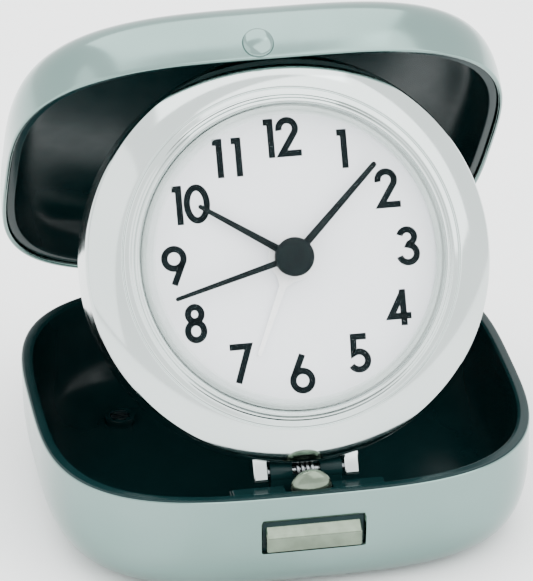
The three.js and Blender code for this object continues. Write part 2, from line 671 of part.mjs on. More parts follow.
// Turn that puts a pinion's gap where the wheel in the middle has a tooth, towards `place`.
function meshTurn(wheelTeeth, ownTeeth, place) {
  const way = Math.atan2(place[1], place[0]);
  const middleStep = (2 * Math.PI) / wheelTeeth;
  const phase = ((way % middleStep) + middleStep) % middleStep / middleStep;
  const ownStep = (2 * Math.PI) / ownTeeth;
  return way + Math.PI + (phase + 0.5) * ownStep;
}

const modules = {
  centre: meshModule(wheelTeeth.centre, pinionTeeth.third, thirdArborDistance),
  third: meshModule(wheelTeeth.third, pinionTeeth.second, thirdArborDistance),
  motion: meshModule(wheelTeeth.motion, pinionTeeth.centre, motionArborDistance),
  hour: meshModule(wheelTeeth.hour, pinionTeeth.motion, motionArborDistance),
  second: meshModule(wheelTeeth.second, pinionTeeth.rotor, rotorArborDistance),
  alarm: meshModule(wheelTeeth.alarm, pinionTeeth.alarm, alarmArborDistance),
};
const level = {
  alarm: layer(0),
  hour: layer(1),
  motion: layer(2),
  centre: layer(3),
  third: layer(4),
  second: layer(5),
};
const pinionTip = 0.02;

const secondArbor = bar(tube.second, 0, 0, backPlateFront - 0.4, 3.55, 16)
  .add(gear(wheelTeeth.second, modules.second, level.second))
  .add(gear(pinionTeeth.second, modules.third, level.third, pinionTip));
put(face, 'second_wheel', secondArbor, 'whitePlastic');

const tubeHole = (inner, z0, z1) => bar(inner + runningClearance, 0, 0, z0, z1, 14);
const centreWheel = bar(tube.minute, 0, 0, level.centre - 0.1, 2.5, 14)
  .add(gear(wheelTeeth.centre, modules.centre, level.centre))
  .add(gear(pinionTeeth.centre, modules.motion, level.motion, pinionTip))
  .subtract(tubeHole(tube.second, -20, 20));
put(face, 'centre_wheel', centreWheel, 'brass');

const hourWheel = bar(tube.hour, 0, 0, level.hour, 2, 14)
  .add(gear(wheelTeeth.hour, modules.hour, level.hour))
  .subtract(tubeHole(tube.minute, -20, 20));
put(face, 'hour_wheel', hourWheel, 'whitePlastic');

const alarmWheel = bar(tube.alarm, 0, 0, level.alarm, 1.5, 14)
  .add(gear(wheelTeeth.alarm, modules.alarm, level.alarm))
  .subtract(tubeHole(tube.hour, -20, 20));
put(face, 'alarm_wheel', alarmWheel, 'whitePlastic');

const third = wheelGroup(arbors.third, meshTurn(wheelTeeth.centre, pinionTeeth.third, arbors.third));
const thirdPhase = meshTurn(pinionTeeth.second, wheelTeeth.third, arbors.third) - third.rotation.z;
const thirdWheel = gear(wheelTeeth.third, modules.third, level.third)
  .rotate([0, 0, THREE.MathUtils.radToDeg(thirdPhase)])
  .add(gear(pinionTeeth.third, modules.centre, level.centre, pinionTip))
  .add(bar(0.35, 0, 0, backPlateFront - 0.4, frontPlateBack + 0.5, 12));
put(third, 'third_wheel', thirdWheel, 'whitePlastic');

const motion = wheelGroup(arbors.motion, meshTurn(pinionTeeth.centre, wheelTeeth.motion, arbors.motion));
const motionPhase = meshTurn(wheelTeeth.hour, pinionTeeth.motion, arbors.motion) - motion.rotation.z;
const knobFront = -drumDepth - 0.2;
const knobBack = -drumDepth - 1.7;
const motionWheel = gear(wheelTeeth.motion, modules.motion, level.motion)
  .add(gear(pinionTeeth.motion, modules.hour, level.hour, pinionTip)
    .rotate([0, 0, THREE.MathUtils.radToDeg(motionPhase)]))
  .add(bar(0.45, 0, 0, knobFront + 0.1, frontPlateBack + 0.5, 14));
put(motion, 'motion_wheel', motionWheel, 'whitePlastic');

const alarmSet = wheelGroup(arbors.alarm, meshTurn(wheelTeeth.alarm, pinionTeeth.alarm, arbors.alarm));
put(alarmSet, 'alarm_pinion', gear(pinionTeeth.alarm, modules.alarm, level.alarm, pinionTip)
  .add(bar(0.45, 0, 0, knobFront + 0.1, frontPlateBack + 0.5, 14)), 'whitePlastic');

function knob(radius) {
  let body = bar(radius, 0, 0, knobBack, knobFront, 16);
  for (let i = 0; i < 8; i += 1) {
    const angle = (2 * Math.PI * i) / 8;
    body = body.subtract(bar(0.3, radius * Math.cos(angle), radius * Math.sin(angle), -30, 0, 6));
  }
  return body.subtract(bar(0.5, 0, 0, knobFront - 0.2, 0, 14));
}

put(motion, 'time_knob', knob(2.6), 'mattBlack');
put(alarmSet, 'alarm_knob', knob(2.2), 'mattBlack');

const rotor = wheelGroup(arbors.rotor, meshTurn(wheelTeeth.second, pinionTeeth.rotor, arbors.rotor));
put(rotor, 'motor_rotor', gear(pinionTeeth.rotor, modules.second, level.second, pinionTip)
  .add(bar(2.4, 0, 0, stepperBack + 0.15, stepperFront - 0.1, 24))
  .add(bar(0.35, 0, 0, backPlateFront - 0.4, level.second + 1.2, 12)), 'steel');

put(face, 'alarm_switch', block(switchPlace[0] - 0.7, switchPlace[0] + 0.7, switchPlace[1] - 0.5,
  switchPlace[1] + 0.5, -drumDepth - 0.9, backInside + 0.2)
  .add(block(switchPlace[0] - 1.4, switchPlace[0] + 1.4, switchPlace[1] - 1.1, switchPlace[1] + 1.1,
    backInside + 0.1, backInside + 0.7)), 'whitePlastic');

// ---------------------------------------------------------------- hands
// A hand points to twelve when built, then turns clockwise to `angle`.
function hand(length, rootHalf, tipHalf, hub, z, angle, hole) {
  const shape = new THREE.Shape();
  shape.moveTo(-rootHalf, 0);
  shape.lineTo(rootHalf, 0);
  shape.lineTo(tipHalf, length - tipHalf);
  shape.lineTo(0, length);
  shape.lineTo(-tipHalf, length - tipHalf);
  const blade = new THREE.ExtrudeGeometry(shape, { depth: handThickness, bevelEnabled: false });
  blade.translate(0, 0, z);
  return solid(blade).add(bar(hub, 0, 0, z, z + handThickness, 20))
    .subtract(bar(hole, 0, 0, -1, 9, 14))
    .rotate([0, 0, -angle]);
}

put(face, 'alarm_hand', hand(alarmHandLength, 0.4, 0.25, handHub + 0.5, 1.55, alarmHandAngle,
  tube.hour + runningClearance), 'handWhite');
put(face, 'hour_hand', hand(hourHandLength, 0.43, 0.26, handHub - 0.15, 2.05, hourHandAngle,
  tube.minute + runningClearance), 'handBlack');
put(face, 'minute_hand', hand(minuteHandLength, 0.46, 0.32, handHub - 0.15, 2.55, minuteHandAngle,
  tube.second + runningClearance), 'handBlack');
put(face, 'second_hand', hand(secondHandLength, 0.37, 0.24, handHub - 0.2, 3.05, secondHandAngle,
  tube.second + pressClearance), 'handBlack');
put(face, 'hub_cap', turned([
  [0, 3.85],
  [1.2, 3.8],
  [handHub - 0.35, 3.6],
  [handHub - 0.1, 3.35],
  [tube.second + 0.05, 3.35],
  [tube.second + 0.05, 3.6],
  [0, 3.6],
], 20), 'handBlack');

export default assembly;
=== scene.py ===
"""Folding travel alarm clock: the looks of its shells, liners, ring, dial, hands and small parts.

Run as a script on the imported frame. Sizes are worked in millimetres and turned to metres
when a mesh is made. The row frame has +Z up and -Y towards the reader.
"""

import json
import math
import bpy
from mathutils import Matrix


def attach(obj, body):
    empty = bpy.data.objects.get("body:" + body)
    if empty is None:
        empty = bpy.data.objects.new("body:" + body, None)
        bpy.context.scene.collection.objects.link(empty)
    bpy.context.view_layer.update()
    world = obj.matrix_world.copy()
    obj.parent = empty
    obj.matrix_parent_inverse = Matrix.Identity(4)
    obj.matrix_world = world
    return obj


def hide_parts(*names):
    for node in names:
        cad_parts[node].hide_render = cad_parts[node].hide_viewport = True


bl_info = {
    "name": "Folding travel clock",
    "version": (1, 0, 0),
    "blender": (4, 5, 0),
    "location": "View3D > Sidebar > Travel clock",
    "description": "Builds the shells, liners, dial and hands of a folding travel alarm clock",
    "category": "Add Mesh",
}

import bpy
import numpy as np
from mathutils import Matrix, Vector

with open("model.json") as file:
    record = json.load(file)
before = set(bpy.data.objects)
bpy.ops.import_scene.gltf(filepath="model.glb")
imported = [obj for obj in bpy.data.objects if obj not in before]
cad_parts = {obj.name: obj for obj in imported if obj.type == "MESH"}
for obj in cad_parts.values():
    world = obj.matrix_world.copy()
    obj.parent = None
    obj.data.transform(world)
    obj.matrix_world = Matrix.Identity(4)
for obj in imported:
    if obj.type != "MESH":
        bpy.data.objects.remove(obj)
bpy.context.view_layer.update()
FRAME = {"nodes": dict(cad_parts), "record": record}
MM = 0.001
CASE_STEPS = 240  # directions round the case


# ------------------------------------------------------------------ sizes and colours
def length_field(name, description, metres):
    return bpy.props.FloatProperty(name=name, description=description, default=metres, unit="LENGTH")


def angle_field(name, degrees, description="Clockwise from twelve"):
    return bpy.props.FloatProperty(name=name, description=description, default=math.radians(degrees),
                                   subtype="ANGLE", unit="ROTATION")


def colour_field(name, description, hex_value):
    return bpy.props.StringProperty(name=name, description=description, default=hex_value)


class CaseSizes(bpy.types.PropertyGroup):
    """Sizes of the two half shells and of the hinges between the parts."""

    half_width: length_field("Half width", "Half of the case from side to side", 0.030)
    half_depth: length_field("Half depth", "Half of the case from front to back", 0.0288)
    roundness: bpy.props.FloatProperty(
        name="Roundness", description="Exponent of the rounded square seen from above", default=3.35,
        min=2)
    wall: length_field("Shell wall", "Thickness of the metal", 0.0005)
    base_height: length_field("Base height", "Height of the metal of the base", 0.01395)
    lip_height: length_field("Lip height", "Height of the black lip on the base", 0.00025)
    lid_height: length_field("Lid height", "Height of the lid over its rim", 0.00925)
    lid_overhang: length_field("Lid overhang", "How far the lid stands out past the base", 0.0005)
    lid_open: angle_field("Lid opening", 51, "Angle between the two rims")
    lean: angle_field("Lean", 28.5, "How far the clock leans back from upright")


class FaceSizes(bpy.types.PropertyGroup):
    """Sizes of the round clock, measured from the front edge plane of its ring."""

    above_pin: length_field("Above the pin", "From the hinge pin to the middle of the dial", 0.0248)
    ring_radius: length_field("Ring radius", "Outer radius of the bright ring", 0.024)
    ring_depth: length_field("Ring depth", "Depth of the ring's side wall", 0.0095)
    opening: length_field("Opening radius", "Radius of the opening over the dial", 0.0179)
    ring_dome: length_field("Ring dome", "Radius of the ring's domed band in section", 0.0098)
    numeral_circle: length_field("Numeral circle", "Radius of the circle through the numerals", 0.01385)
    numeral_height: length_field("Numeral height", "Height of a numeral", 0.0046)
    hour_angle: angle_field("Hour hand", 303)
    minute_angle: angle_field("Minute hand", 46)
    second_angle: angle_field("Second hand", 255)
    alarm_angle: angle_field("Alarm hand", 204)


class ClockColours(bpy.types.PropertyGroup):
    """Colours of the parts that show, as sRGB hex values."""

    shell: colour_field("Shell", "Nickel plate of the two half shells", "#768E89")
    ring: colour_field("Ring", "Bright chrome of the ring round the dial", "#C4CDCB")
    liner: colour_field("Liner", "Glossy black ABS inside the shells", "#082021")
    dial: colour_field("Dial", "Printed white dial card", "#F1F4F8")
    ink: colour_field("Ink", "Numerals and black hands", "#061012")
    button: colour_field("Button", "Satin nickel of the button and the catch", "#6C7869")


def case():
    return bpy.context.scene.clock_case


def face():
    return bpy.context.scene.clock_face


def colours():
    return bpy.context.scene.clock_colours


def mm(length):
    return length / MM


# ------------------------------------------------------------------ surfaces
def superellipse(steps, exponent, extra=()):
    """Quarter of c^p + s^p = 1: points at equal angles psi, where the radius is
    (cos^p psi + sin^p psi)^(-1/p), plus points at the wanted heights s = extra."""
    psi = np.linspace(0, np.pi / 2, steps + 1)
    radius = (np.cos(psi).clip(0) ** exponent + np.sin(psi) ** exponent) ** (-1 / exponent)
    s = np.concatenate([radius * np.sin(psi), np.asarray(extra, float)])
    s = np.unique(s.clip(0, 1).round(9))
    c = (1 - s**exponent).clip(0) ** (1 / exponent)
    return c, s


def pillow(inset, height, edge_inset, exponent, start, way, steps=30, extra=()):
    """Wall of a pillow: straight at its rim at `start`, rounding over to a flat `height` away.
    inset(s) = inset + (edge - inset)(1 - c), z(s) = start + way * height * s on a superellipse."""
    c, s = superellipse(steps, exponent, extra)
    return np.stack([inset + (edge_inset - inset) * (1 - c), start + way * height * s], -1)


def round_the_case(extra=()):
    """Directions round the case, from above, with more put in at the wanted x on the front wall."""
    front = -mm(case().half_depth)
    more = [math.atan2(front, x) % (2 * math.pi) for x in extra]
    even = np.linspace(0, 2 * np.pi, CASE_STEPS, endpoint=False)
    return np.unique(np.concatenate([even, more]).round(9))


def case_rows(levels, directions):
    """Rows round the rounded square |x/a|^n + |y/b|^n = 1, one for each [inset, z]:
    in direction t the radius is (|cos t / a|^n + |sin t / b|^n)^(-1/n)."""
    levels = np.asarray(levels, float)
    a = mm(case().half_width) - levels[:, :1]
    b = mm(case().half_depth) - levels[:, :1]
    n = case().roundness
    c, s = np.cos(directions)[None], np.sin(directions)[None]
    radius = (np.abs(c / a) ** n + np.abs(s / b) ** n) ** (-1 / n)
    return np.stack([radius * c, radius * s, np.broadcast_to(levels[:, 1:], radius.shape)], -1)


def turned_rows(profile, count=180):
    """Rows of a body of revolution round Z: (r cos t, r sin t, z) for each [r, z] of the profile."""
    profile = np.asarray(profile, float)
    t = np.linspace(0, 2 * np.pi, count, endpoint=False)
    r = profile[:, :1]
    z = np.broadcast_to(profile[:, 1:], (len(profile), count))
    return np.stack([r * np.cos(t), r * np.sin(t), z], -1)


def filleted(points, radius, closed=False, steps=5):
    """Corners of a profile eased: each corner P between A and B becomes the curve
    (1-t)^2 P' + 2t(1-t) P + t^2 P'', whose ends P' and P'' lie `radius` along the two sides."""
    points = np.asarray(points, float)
    before = np.roll(points, 1, 0)
    after = np.roll(points, -1, 0)
    radius = np.broadcast_to(np.asarray(radius, float), (len(points),))
    to_before, to_after = before - points, after - points
    long_before = np.linalg.norm(to_before, axis=1).clip(1e-9)
    long_after = np.linalg.norm(to_after, axis=1).clip(1e-9)
    cut = np.minimum(radius, 0.45 * np.minimum(long_before, long_after))
    start = points + to_before * (cut / long_before)[:, None]
    end = points + to_after * (cut / long_after)[:, None]
    t = np.linspace(0, 1, steps)[None, :, None]
    curve = (1 - t) ** 2 * start[:, None] + 2 * t * (1 - t) * points[:, None] + t**2 * end[:, None]
    if not closed:
        curve[0], curve[-1] = points[0], points[-1]
    flat = curve.reshape(-1, points.shape[1])
    keep = np.ones(len(flat), bool)
    keep[1:] = np.linalg.norm(np.diff(flat, axis=0), axis=1) > 1e-6
    return flat[keep]


def grid(rows, loop_rows=False, cap_first=False, cap_last=False):
    """Corners and faces of a grid of rows, closed round its columns, with a pole on either end
    where it is capped, at the middle of that row."""
    count, across = rows.shape[:2]
    index = np.arange(count * across).reshape(count, across)
    low, high = (index, np.roll(index, -1, 0)) if loop_rows else (index[:-1], index[1:])
    quads = np.stack([low, np.roll(low, -1, 1), np.roll(high, -1, 1), high], -1)
    corners = [rows.reshape(-1, 3)]
    triangles = []
    for wanted, row, order in ((cap_first, index[0], 1), (cap_last, index[-1], -1)):
        if wanted:
            pole = sum(len(c) for c in corners)
            corners.append(rows.reshape(-1, 3)[row].mean(0, keepdims=True))
            ends = np.stack([np.full(across, pole), np.roll(row, -1), row], -1)
            triangles.append(ends[:, ::order])
    triangles = np.concatenate(triangles or [np.zeros((0, 3), int)])
    return np.concatenate(corners), quads.reshape(-1, 4), triangles


def outward(corners, quads, triangles):
    """The faces turned so that the volume they hold, the sum of a . (b x c) / 6, is positive."""
    split = np.concatenate([quads[:, [0, 1, 2]], quads[:, [0, 2, 3]], triangles]).astype(int)
    a, b, c = (corners[split[:, k]] for k in range(3))
    if np.einsum("ij,ij->i", a, np.cross(b, c)).sum() < 0:
        return corners, quads[:, ::-1], triangles[:, ::-1]
    return corners, quads, triangles


def walled(corners, quads, triangles, wall):
    """A sheet given a wall: a second sheet lies `wall` under the first along its corner normals,
    and a strip joins the two along every open edge."""
    split = np.concatenate([quads[:, [0, 1, 2]], quads[:, [0, 2, 3]], triangles]).astype(int)
    a, b, c = (corners[split[:, k]] for k in range(3))
    normal = np.cross(b - a, c - a)
    total = np.zeros_like(corners)
    for k in range(3):
        np.add.at(total, split[:, k], normal)
    total /= np.linalg.norm(total, axis=1, keepdims=True).clip(1e-12)
    inner = corners - wall * total
    edges = np.concatenate([quads[:, [k, (k + 1) % 4]] for k in range(4)]
                           + [triangles[:, [k, (k + 1) % 3]] for k in range(3)])
    key = np.sort(edges, 1) @ np.array([len(corners), 1])
    _, first, times = np.unique(key, return_index=True, return_counts=True)
    rim = edges[first[times == 1]]
    count = len(corners)
    strip = np.stack([rim[:, 1], rim[:, 0], rim[:, 0] + count, rim[:, 1] + count], -1)
    return (np.concatenate([corners, inner]),
            np.concatenate([quads, quads[:, ::-1] + count, strip]),
            np.concatenate([triangles, triangles[:, ::-1] + count]))


def joined(*parts):
    """Several closed surfaces as one mesh's corners, quads and triangles."""
    corners, quads, triangles, start = [], [], [], 0
    for part_corners, part_quads, part_triangles in parts:
        corners.append(part_corners)
        quads.append(part_quads + start)
        triangles.append(part_triangles + start)
        start += len(part_corners)
    return np.concatenate(corners), np.concatenate(quads), np.concatenate(triangles)


def moved(part, place):
    corners, quads, triangles = part
    return place(corners), quads, triangles


def turned(profile, closed=False, count=180):
    """Body of revolution of a profile that runs from the axis to the axis, or closes on itself."""
    rows = turned_rows(profile, count)
    if closed:
        return outward(*grid(rows, loop_rows=True))
    profile = np.asarray(profile, float)
    first, last = profile[0, 0] < 1e-6, profile[-1, 0] < 1e-6
    rows = rows[(1 if first else 0):(len(rows) - 1 if last else len(rows))]
    corners, quads, triangles = grid(rows, cap_first=True, cap_last=True)
    poles = iter(corners[len(rows) * count:])
    next(poles)[2] = profile[0, 1]
    next(poles)[2] = profile[-1, 1]
    return outward(corners, quads, triangles)


def at_height(flat, z):
    return np.column_stack([flat, np.full(len(flat), z)])


def extruded(outline, z0, z1, ease=0.0):
    """Flat outline carried from z0 to z1, drawn in by `ease` at both ends along its corner normals."""
    outline = np.asarray(outline, float)
    way = np.roll(outline, -1, 0) - np.roll(outline, 1, 0)
    normal = np.stack([way[:, 1], -way[:, 0]], -1)
    normal /= np.linalg.norm(normal, axis=1, keepdims=True).clip(1e-12)
    x, y = outline.T
    if (x * np.roll(y, -1) - np.roll(x, -1) * y).sum() < 0:
        normal = -normal
    levels = [(z0, ease), (z0 + ease, 0), (z1 - ease, 0), (z1, ease)] if ease else [(z0, 0), (z1, 0)]
    rows = np.stack([at_height(outline - normal * draw, z) for z, draw in levels])
    return outward(*grid(rows, cap_first=True, cap_last=True))


def tube(path, radius, sides=12):
    """Round tube along a path: circles of the radius in planes square to it, from frames that
    turn as little as they can from one point to the next; its ends are closed."""
    path = np.asarray(path, float)
    along = np.gradient(path, axis=0)
    along /= np.linalg.norm(along, axis=1, keepdims=True)
    side = np.cross(along, [0.0, 0.0, 1.0])
    side /= np.linalg.norm(side, axis=1, keepdims=True).clip(1e-9)
    up = np.cross(side, along)
    t = np.linspace(0, 2 * np.pi, sides, endpoint=False)[None, :, None]
    rows = path[:, None] + radius * (np.cos(t) * side[:, None] + np.sin(t) * up[:, None])
    return outward(*grid(rows, cap_first=True, cap_last=True))


def eased_block(low, high, ease=0.15):
    """Block with eased edges: its plan has filleted corners and its top and bottom are drawn in."""
    (x0, y0, z0), (x1, y1, z1) = low, high
    plan = filleted([[x0, y0], [x1, y0], [x1, y1], [x0, y1]], ease, closed=True, steps=4)
    return extruded(plan, z0, z1, ease * 0.6)


# ------------------------------------------------------------------ places
def turn_about_x(points, angle):
    """Points turned round X: (x, y cos a - z sin a, y sin a + z cos a)."""
    x, y, z = np.moveaxis(np.asarray(points, float), -1, 0)
    c, s = math.cos(angle), math.sin(angle)
    return np.stack([x, y * c - z * s, y * s + z * c], -1)


PIN_BACK = 3.3  # from the front edge plane of the ring back to the clock's hinge pin


def on_lid(points):
    """From the shut lid, as it lies on the base, to the open lid."""
    return turn_about_x(points - lid_pin(), -case().lid_open) + lid_pin()


def on_clock(points):
    """From the clock's own frame, +Y to twelve and +Z out of the dial, to the row frame."""
    middle = np.array([0, mm(face().above_pin), PIN_BACK])
    return turn_about_x(points + middle, math.pi / 2 - case().lean) + clock_pin()


def clock_pin():
    return np.array([0, -22.4, rim_height() - 0.1])


def lid_pin():
    return np.array([0, mm(case().half_depth) + 1.5, rim_height() - 4.45])


def rim_height():
    return mm(case().base_height + case().lip_height)


def round_pin(profile, pin, **options):
    """A body turned round Z, laid along X with its axis on a pin."""
    return moved(turned(profile, **options), lambda p: p[..., [2, 0, 1]] + pin)


def along_x(outline, x0, x1, ease):
    """An outline in y and z, carried along X from x0 to x1."""
    return moved(extruded(outline, x0, x1, ease), lambda p: p[..., [2, 0, 1]])


# ------------------------------------------------------------------ materials
def linear(hex_value):
    """sRGB hex value as linear red, green, blue and alpha."""
    channels = [int(hex_value[k:k + 2], 16) / 255 for k in (1, 3, 5)]
    return [c / 12.92 if c <= 0.04045 else ((c + 0.055) / 1.055) ** 2.4 for c in channels] + [1.0]


def add_node(material, kind, settings=None, links=None):
    """A node with its settings: {socket or attribute: value}, and its links: {socket: output}."""
    tree = material.node_tree
    node = tree.nodes.new(kind)
    for key, value in (settings or {}).items():
        if isinstance(key, int) or key in node.inputs:
            node.inputs[key].default_value = value
        else:
            setattr(node, key, value)
    for key, output in (links or {}).items():
        tree.links.new(output, node.inputs[key])
    return node


def shaded(tint, amount):
    """A hex colour, or a colour named in the panel, made darker or lighter by -1 to 1."""
    tint = tint if tint.startswith("#") else getattr(colours(), tint)
    values = [int(tint[k:k + 2], 16) for k in (1, 3, 5)]
    target = 0 if amount < 0 else 255
    return "#" + "".join(f"{round(v + (target - v) * abs(amount)):02X}" for v in values)


def look(name, settings, first, second, hue_size, rough=None, rough_size=1.0, stretch=(1, 1, 1),
         bump=None, pattern=None, stops=(0.35, 0.65)):
    """A material round one Principled shader. Its colour wanders between `first` and `second`,
    each a tint and an amount of shade, over `hue_size` mm or along a pattern: a node's kind,
    settings and output. Its roughness wanders between the two values of `rough` over `rough_size`
    mm. A bump is (size and depth in mm, detail)."""
    material = bpy.data.materials.new(name)
    material.use_nodes = True
    material.node_tree.nodes.clear()
    place = add_node(material, "ShaderNodeTexCoord").outputs["Object"]

    def grain(size_mm, stretch=(1, 1, 1), detail=2.0):
        scale = [1 / MM / size_mm * s for s in stretch]
        spread = add_node(material, "ShaderNodeMapping", {"Scale": scale}, {"Vector": place})
        noise = add_node(material, "ShaderNodeTexNoise", {"Scale": 1.0, "Detail": detail},
                         {"Vector": spread.outputs["Vector"]})
        return noise.outputs["Fac"]

    if pattern:
        kind, values, output = pattern
        spread = add_node(material, kind, values, {"Vector": place}).outputs[output]
    else:
        spread = grain(hue_size)
    ramp = add_node(material, "ShaderNodeValToRGB", links={"Fac": spread})
    for stop, position, (tint, amount) in zip(ramp.color_ramp.elements, stops, (first, second)):
        stop.position = position
        stop.color = linear(shaded(tint, amount))
    links = {"Base Color": ramp.outputs["Color"]}
    if rough:
        span = add_node(material, "ShaderNodeMapRange",
                        {"From Min": 0.3, "From Max": 0.7, "To Min": rough[0], "To Max": rough[1]},
                        {"Value": grain(rough_size, stretch)})
        links["Roughness"] = span.outputs["Result"]
    if bump:
        size, depth, detail = bump
        raised = add_node(material, "ShaderNodeBump", {"Strength": 1.0, "Distance": depth * MM},
                          {"Height": grain(size, stretch, detail)})
        links["Normal"] = raised.outputs["Normal"]
    shader = add_node(material, "ShaderNodeBsdfPrincipled", settings, links)
    add_node(material, "ShaderNodeOutputMaterial", links={"Surface": shader.outputs["BSDF"]})
    return material


METAL = {"Metallic": 1.0}
LOOKS = {
    # Polished nickel plate on a pressed steel half shell: soft mirror, faint orange peel
    # about 3 mm across and hairlines too fine to see, which blur the highlights a little.
    "polished_metal": (("polished nickel plate", METAL, ("shell", -0.03), ("shell", 0.03), 18.0),
                       {"rough": (0.13, 0.19), "rough_size": 6.0, "bump": (3.0, 0.004, 1.0)}),
    # Decorative chrome on the turned ring: a clean mirror, whose shine wanders a little every
    # 2 mm so that it doesn't look computed.
    "chrome": (("bright chrome plate", METAL, ("ring", -0.02), ("ring", 0.02), 12.0),
               {"rough": (0.07, 0.12), "rough_size": 2.0}),
    # Injection-moulded ABS polished in the tool: deep black with a clear gloss, and a faint
    # waviness 5 mm across from the mould.
    "gloss_black": (("moulded gloss ABS", {"IOR": 1.5, "Specular IOR Level": 0.12}, ("liner", 0),
                     ("liner", 0.02), 4.0),
                    {"rough": (0.2, 0.26), "rough_size": 2.5, "bump": (5.0, 0.002, 1.0)}),
    # ABS with a spark-eroded grain, 0.35 mm across, on the back of the movement's drum.
    "matt_black": (("spark-eroded ABS", {"IOR": 1.53}, ("#14191A", 0), ("#1C2223", 0), 2.0),
                   {"rough": (0.42, 0.56), "rough_size": 1.0, "bump": (0.35, 0.02, 2.0)}),
    # Screen-printed white dial, silk matt, with the slightest mottle.
    "dial_white": (("printed dial card", {"IOR": 1.48}, ("dial", -0.01), ("dial", 0), 1.5),
                   {"rough": (0.5, 0.6), "rough_size": 0.8}),
    # Screen-printed black ink, a shade glossier than the card under it.
    "ink": (("screen-printed ink", {"IOR": 1.5, "Specular IOR Level": 0.05}, ("ink", 0), ("ink", 0.03),
             0.6),
            {"rough": (0.35, 0.48), "rough_size": 0.4}),
    # Stoving enamel on stamped brass hands: satin black with a soft highlight.
    "hand_black": (("satin black enamel", {"IOR": 1.5, "Specular IOR Level": 0.08}, ("ink", 0),
                    ("ink", 0.04), 0.8),
                   {"rough": (0.28, 0.38), "rough_size": 0.5}),
    # White enamel on the alarm hand.
    "hand_white": (("white enamel", {"IOR": 1.5}, ("#F2F4F5", 0), ("#FAFBFC", 0), 0.8),
                   {"rough": (0.3, 0.4), "rough_size": 0.5}),
    # Cast acrylic crystal: clear enough to read through, so it is mostly see-through.
    "clear_lens": (("clear acrylic", {"IOR": 1.49, "Alpha": 0.02}, ("#0E1313", 0), ("#141A1A", 0), 5.0),
                   {"rough": (0.01, 0.03), "rough_size": 2.0}),
    # The turned edge of the crystal gets a grey-green, part see-through colour. This is painted
    # reflection and shade: it stands for the way the edge refracts and reflects the ring, and for the
    # soft shade that the rim casts on the dial.
    "lens_edge": (("acrylic edge painted reflection", {"IOR": 1.49, "Alpha": 0.34}, ("#AEBBB8", 0), ("#C2CDCA", 0), 5.0),
                  {"rough": (0.04, 0.08), "rough_size": 2.0}),
    # Tumbled nickel plate on the button and the catch: warmer and duller than the shells, with
    # fine scratches 0.3 mm apart along X.
    "nickel": (("tumbled nickel plate", METAL, ("button", -0.06), ("button", 0.05), 2.0),
               {"rough": (0.14, 0.24), "rough_size": 0.3, "stretch": (0.08, 1, 1),
                "bump": (0.3, 0.004, 2.0)}),
    # Drawn steel pins, screws and springs, with drawing lines 0.25 mm apart.
    "steel": (("drawn steel", METAL, ("#8F9396", 0), ("#A4A8AB", 0), 1.0),
              {"rough": (0.22, 0.36), "rough_size": 0.25, "stretch": (0.1, 1, 1)}),
    # Rolled sheet brass, lightly tarnished.
    "brass": (("rolled brass", METAL, ("#B8934A", 0), ("#CBA75E", 0), 2.0),
              {"rough": (0.22, 0.36), "rough_size": 0.6}),
    # Natural acetal, the usual plastic of small wheels and plates: waxy, off-white.
    "white_plastic": (("natural acetal",
                       {"IOR": 1.48, "Subsurface Weight": 0.1, "Subsurface Scale": 0.001},
                       ("#DEDCD2", 0), ("#E8E6DE", 0), 3.0),
                      {"rough": (0.38, 0.5), "rough_size": 0.8}),
    # Green solder mask over copper tracks, which show as a faint pattern 1.2 mm apart.
    "board": (("green solder mask", {"IOR": 1.5, "Coat Weight": 0.3, "Coat Roughness": 0.1},
               ("#2E7A50", 0), ("#17492F", 0), 1.2),
              {"rough": (0.3, 0.42), "rough_size": 1.0, "stops": (0.0, 0.12), "pattern": (
                  "ShaderNodeTexVoronoi", {"Scale": 1 / MM / 1.2, "feature": "DISTANCE_TO_EDGE"},
                  "Distance")}),
    # Enamelled copper wire wound 0.12 mm apart. It is drawn as darker and lighter bands 0.3 mm apart so
    # that the turns show: painted shade in the grooves between turns, and painted highlight on their
    # crowns.
    "copper": (("enamelled copper wire with painted turn shading", METAL, ("#7E3F1E", 0), ("#B9683A", 0), 0.3),
               {"rough": (0.25, 0.4), "rough_size": 0.6, "pattern": (
                   "ShaderNodeTexWave", {"Scale": 1 / MM / 0.3 / 20, "bands_direction": "Y"}, "Fac")}),
    # White paper under and behind the object.
    "paper": (("white paper sweep", {"Roughness": 0.9, "Specular IOR Level": 0.1}, ("#FBFCFC", 0),
               ("#FEFEFE", 0), 40.0), {}),
}
made = {}  # materials made so far, by slot


def finish_for(slot):
    if slot not in made:
        values, options = LOOKS[slot]
        made[slot] = look(*values, **options)
    return made[slot]


# ------------------------------------------------------------------ pieces
# How the pieces of a body go to the row frame; every other body's go through on_clock.
PLACES = {"base": None, "latch": None, "lid": on_lid}


def piece(name, part, body, slot, stands_for=(), finish=None, sharp=34):
    """A mesh at the origin, riding on a body of the frame. The corners are in millimetres: in the
    row frame for the base and the latch, as it lies shut for the lid, and in the clock's own frame
    for every other body."""
    place = PLACES.get(body, on_clock)
    corners, quads, triangles = moved(part, place) if place else part
    mesh = bpy.data.meshes.new(name)
    mesh.from_pydata((np.asarray(corners) * MM).tolist(), [], quads.tolist() + triangles.tolist())
    mesh.validate()
    mesh.update()
    mesh.shade_smooth()
    mesh.set_sharp_from_angle(angle=math.radians(sharp))
    mesh.materials.append(finish_for(finish or slot))
    thing = bpy.data.objects.new(name, mesh)
    bpy.context.scene.collection.objects.link(thing)
    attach(thing, body)
    if stands_for:
        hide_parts(*stands_for)
    return thing


BASE_ROUND = (11, 3.9)  # how far in the flat bottom starts, and the exponent of the curve to it
LID_ROUND = (9.6, 3.2)
WINDOW_HALF = 5.9
WINDOW_TOP = 3.9  # under the rim, as is the bottom
WINDOW_BOTTOM = 7.5
SCOOP = 1.05  # height of the hollow over the window
SCOOP_SIDE = 0.4
SCOOP_UNDER = 0.2
SCOOP_DEPTH = 0.9
IN_FRONT = -20  # the front wall lies at a smaller y


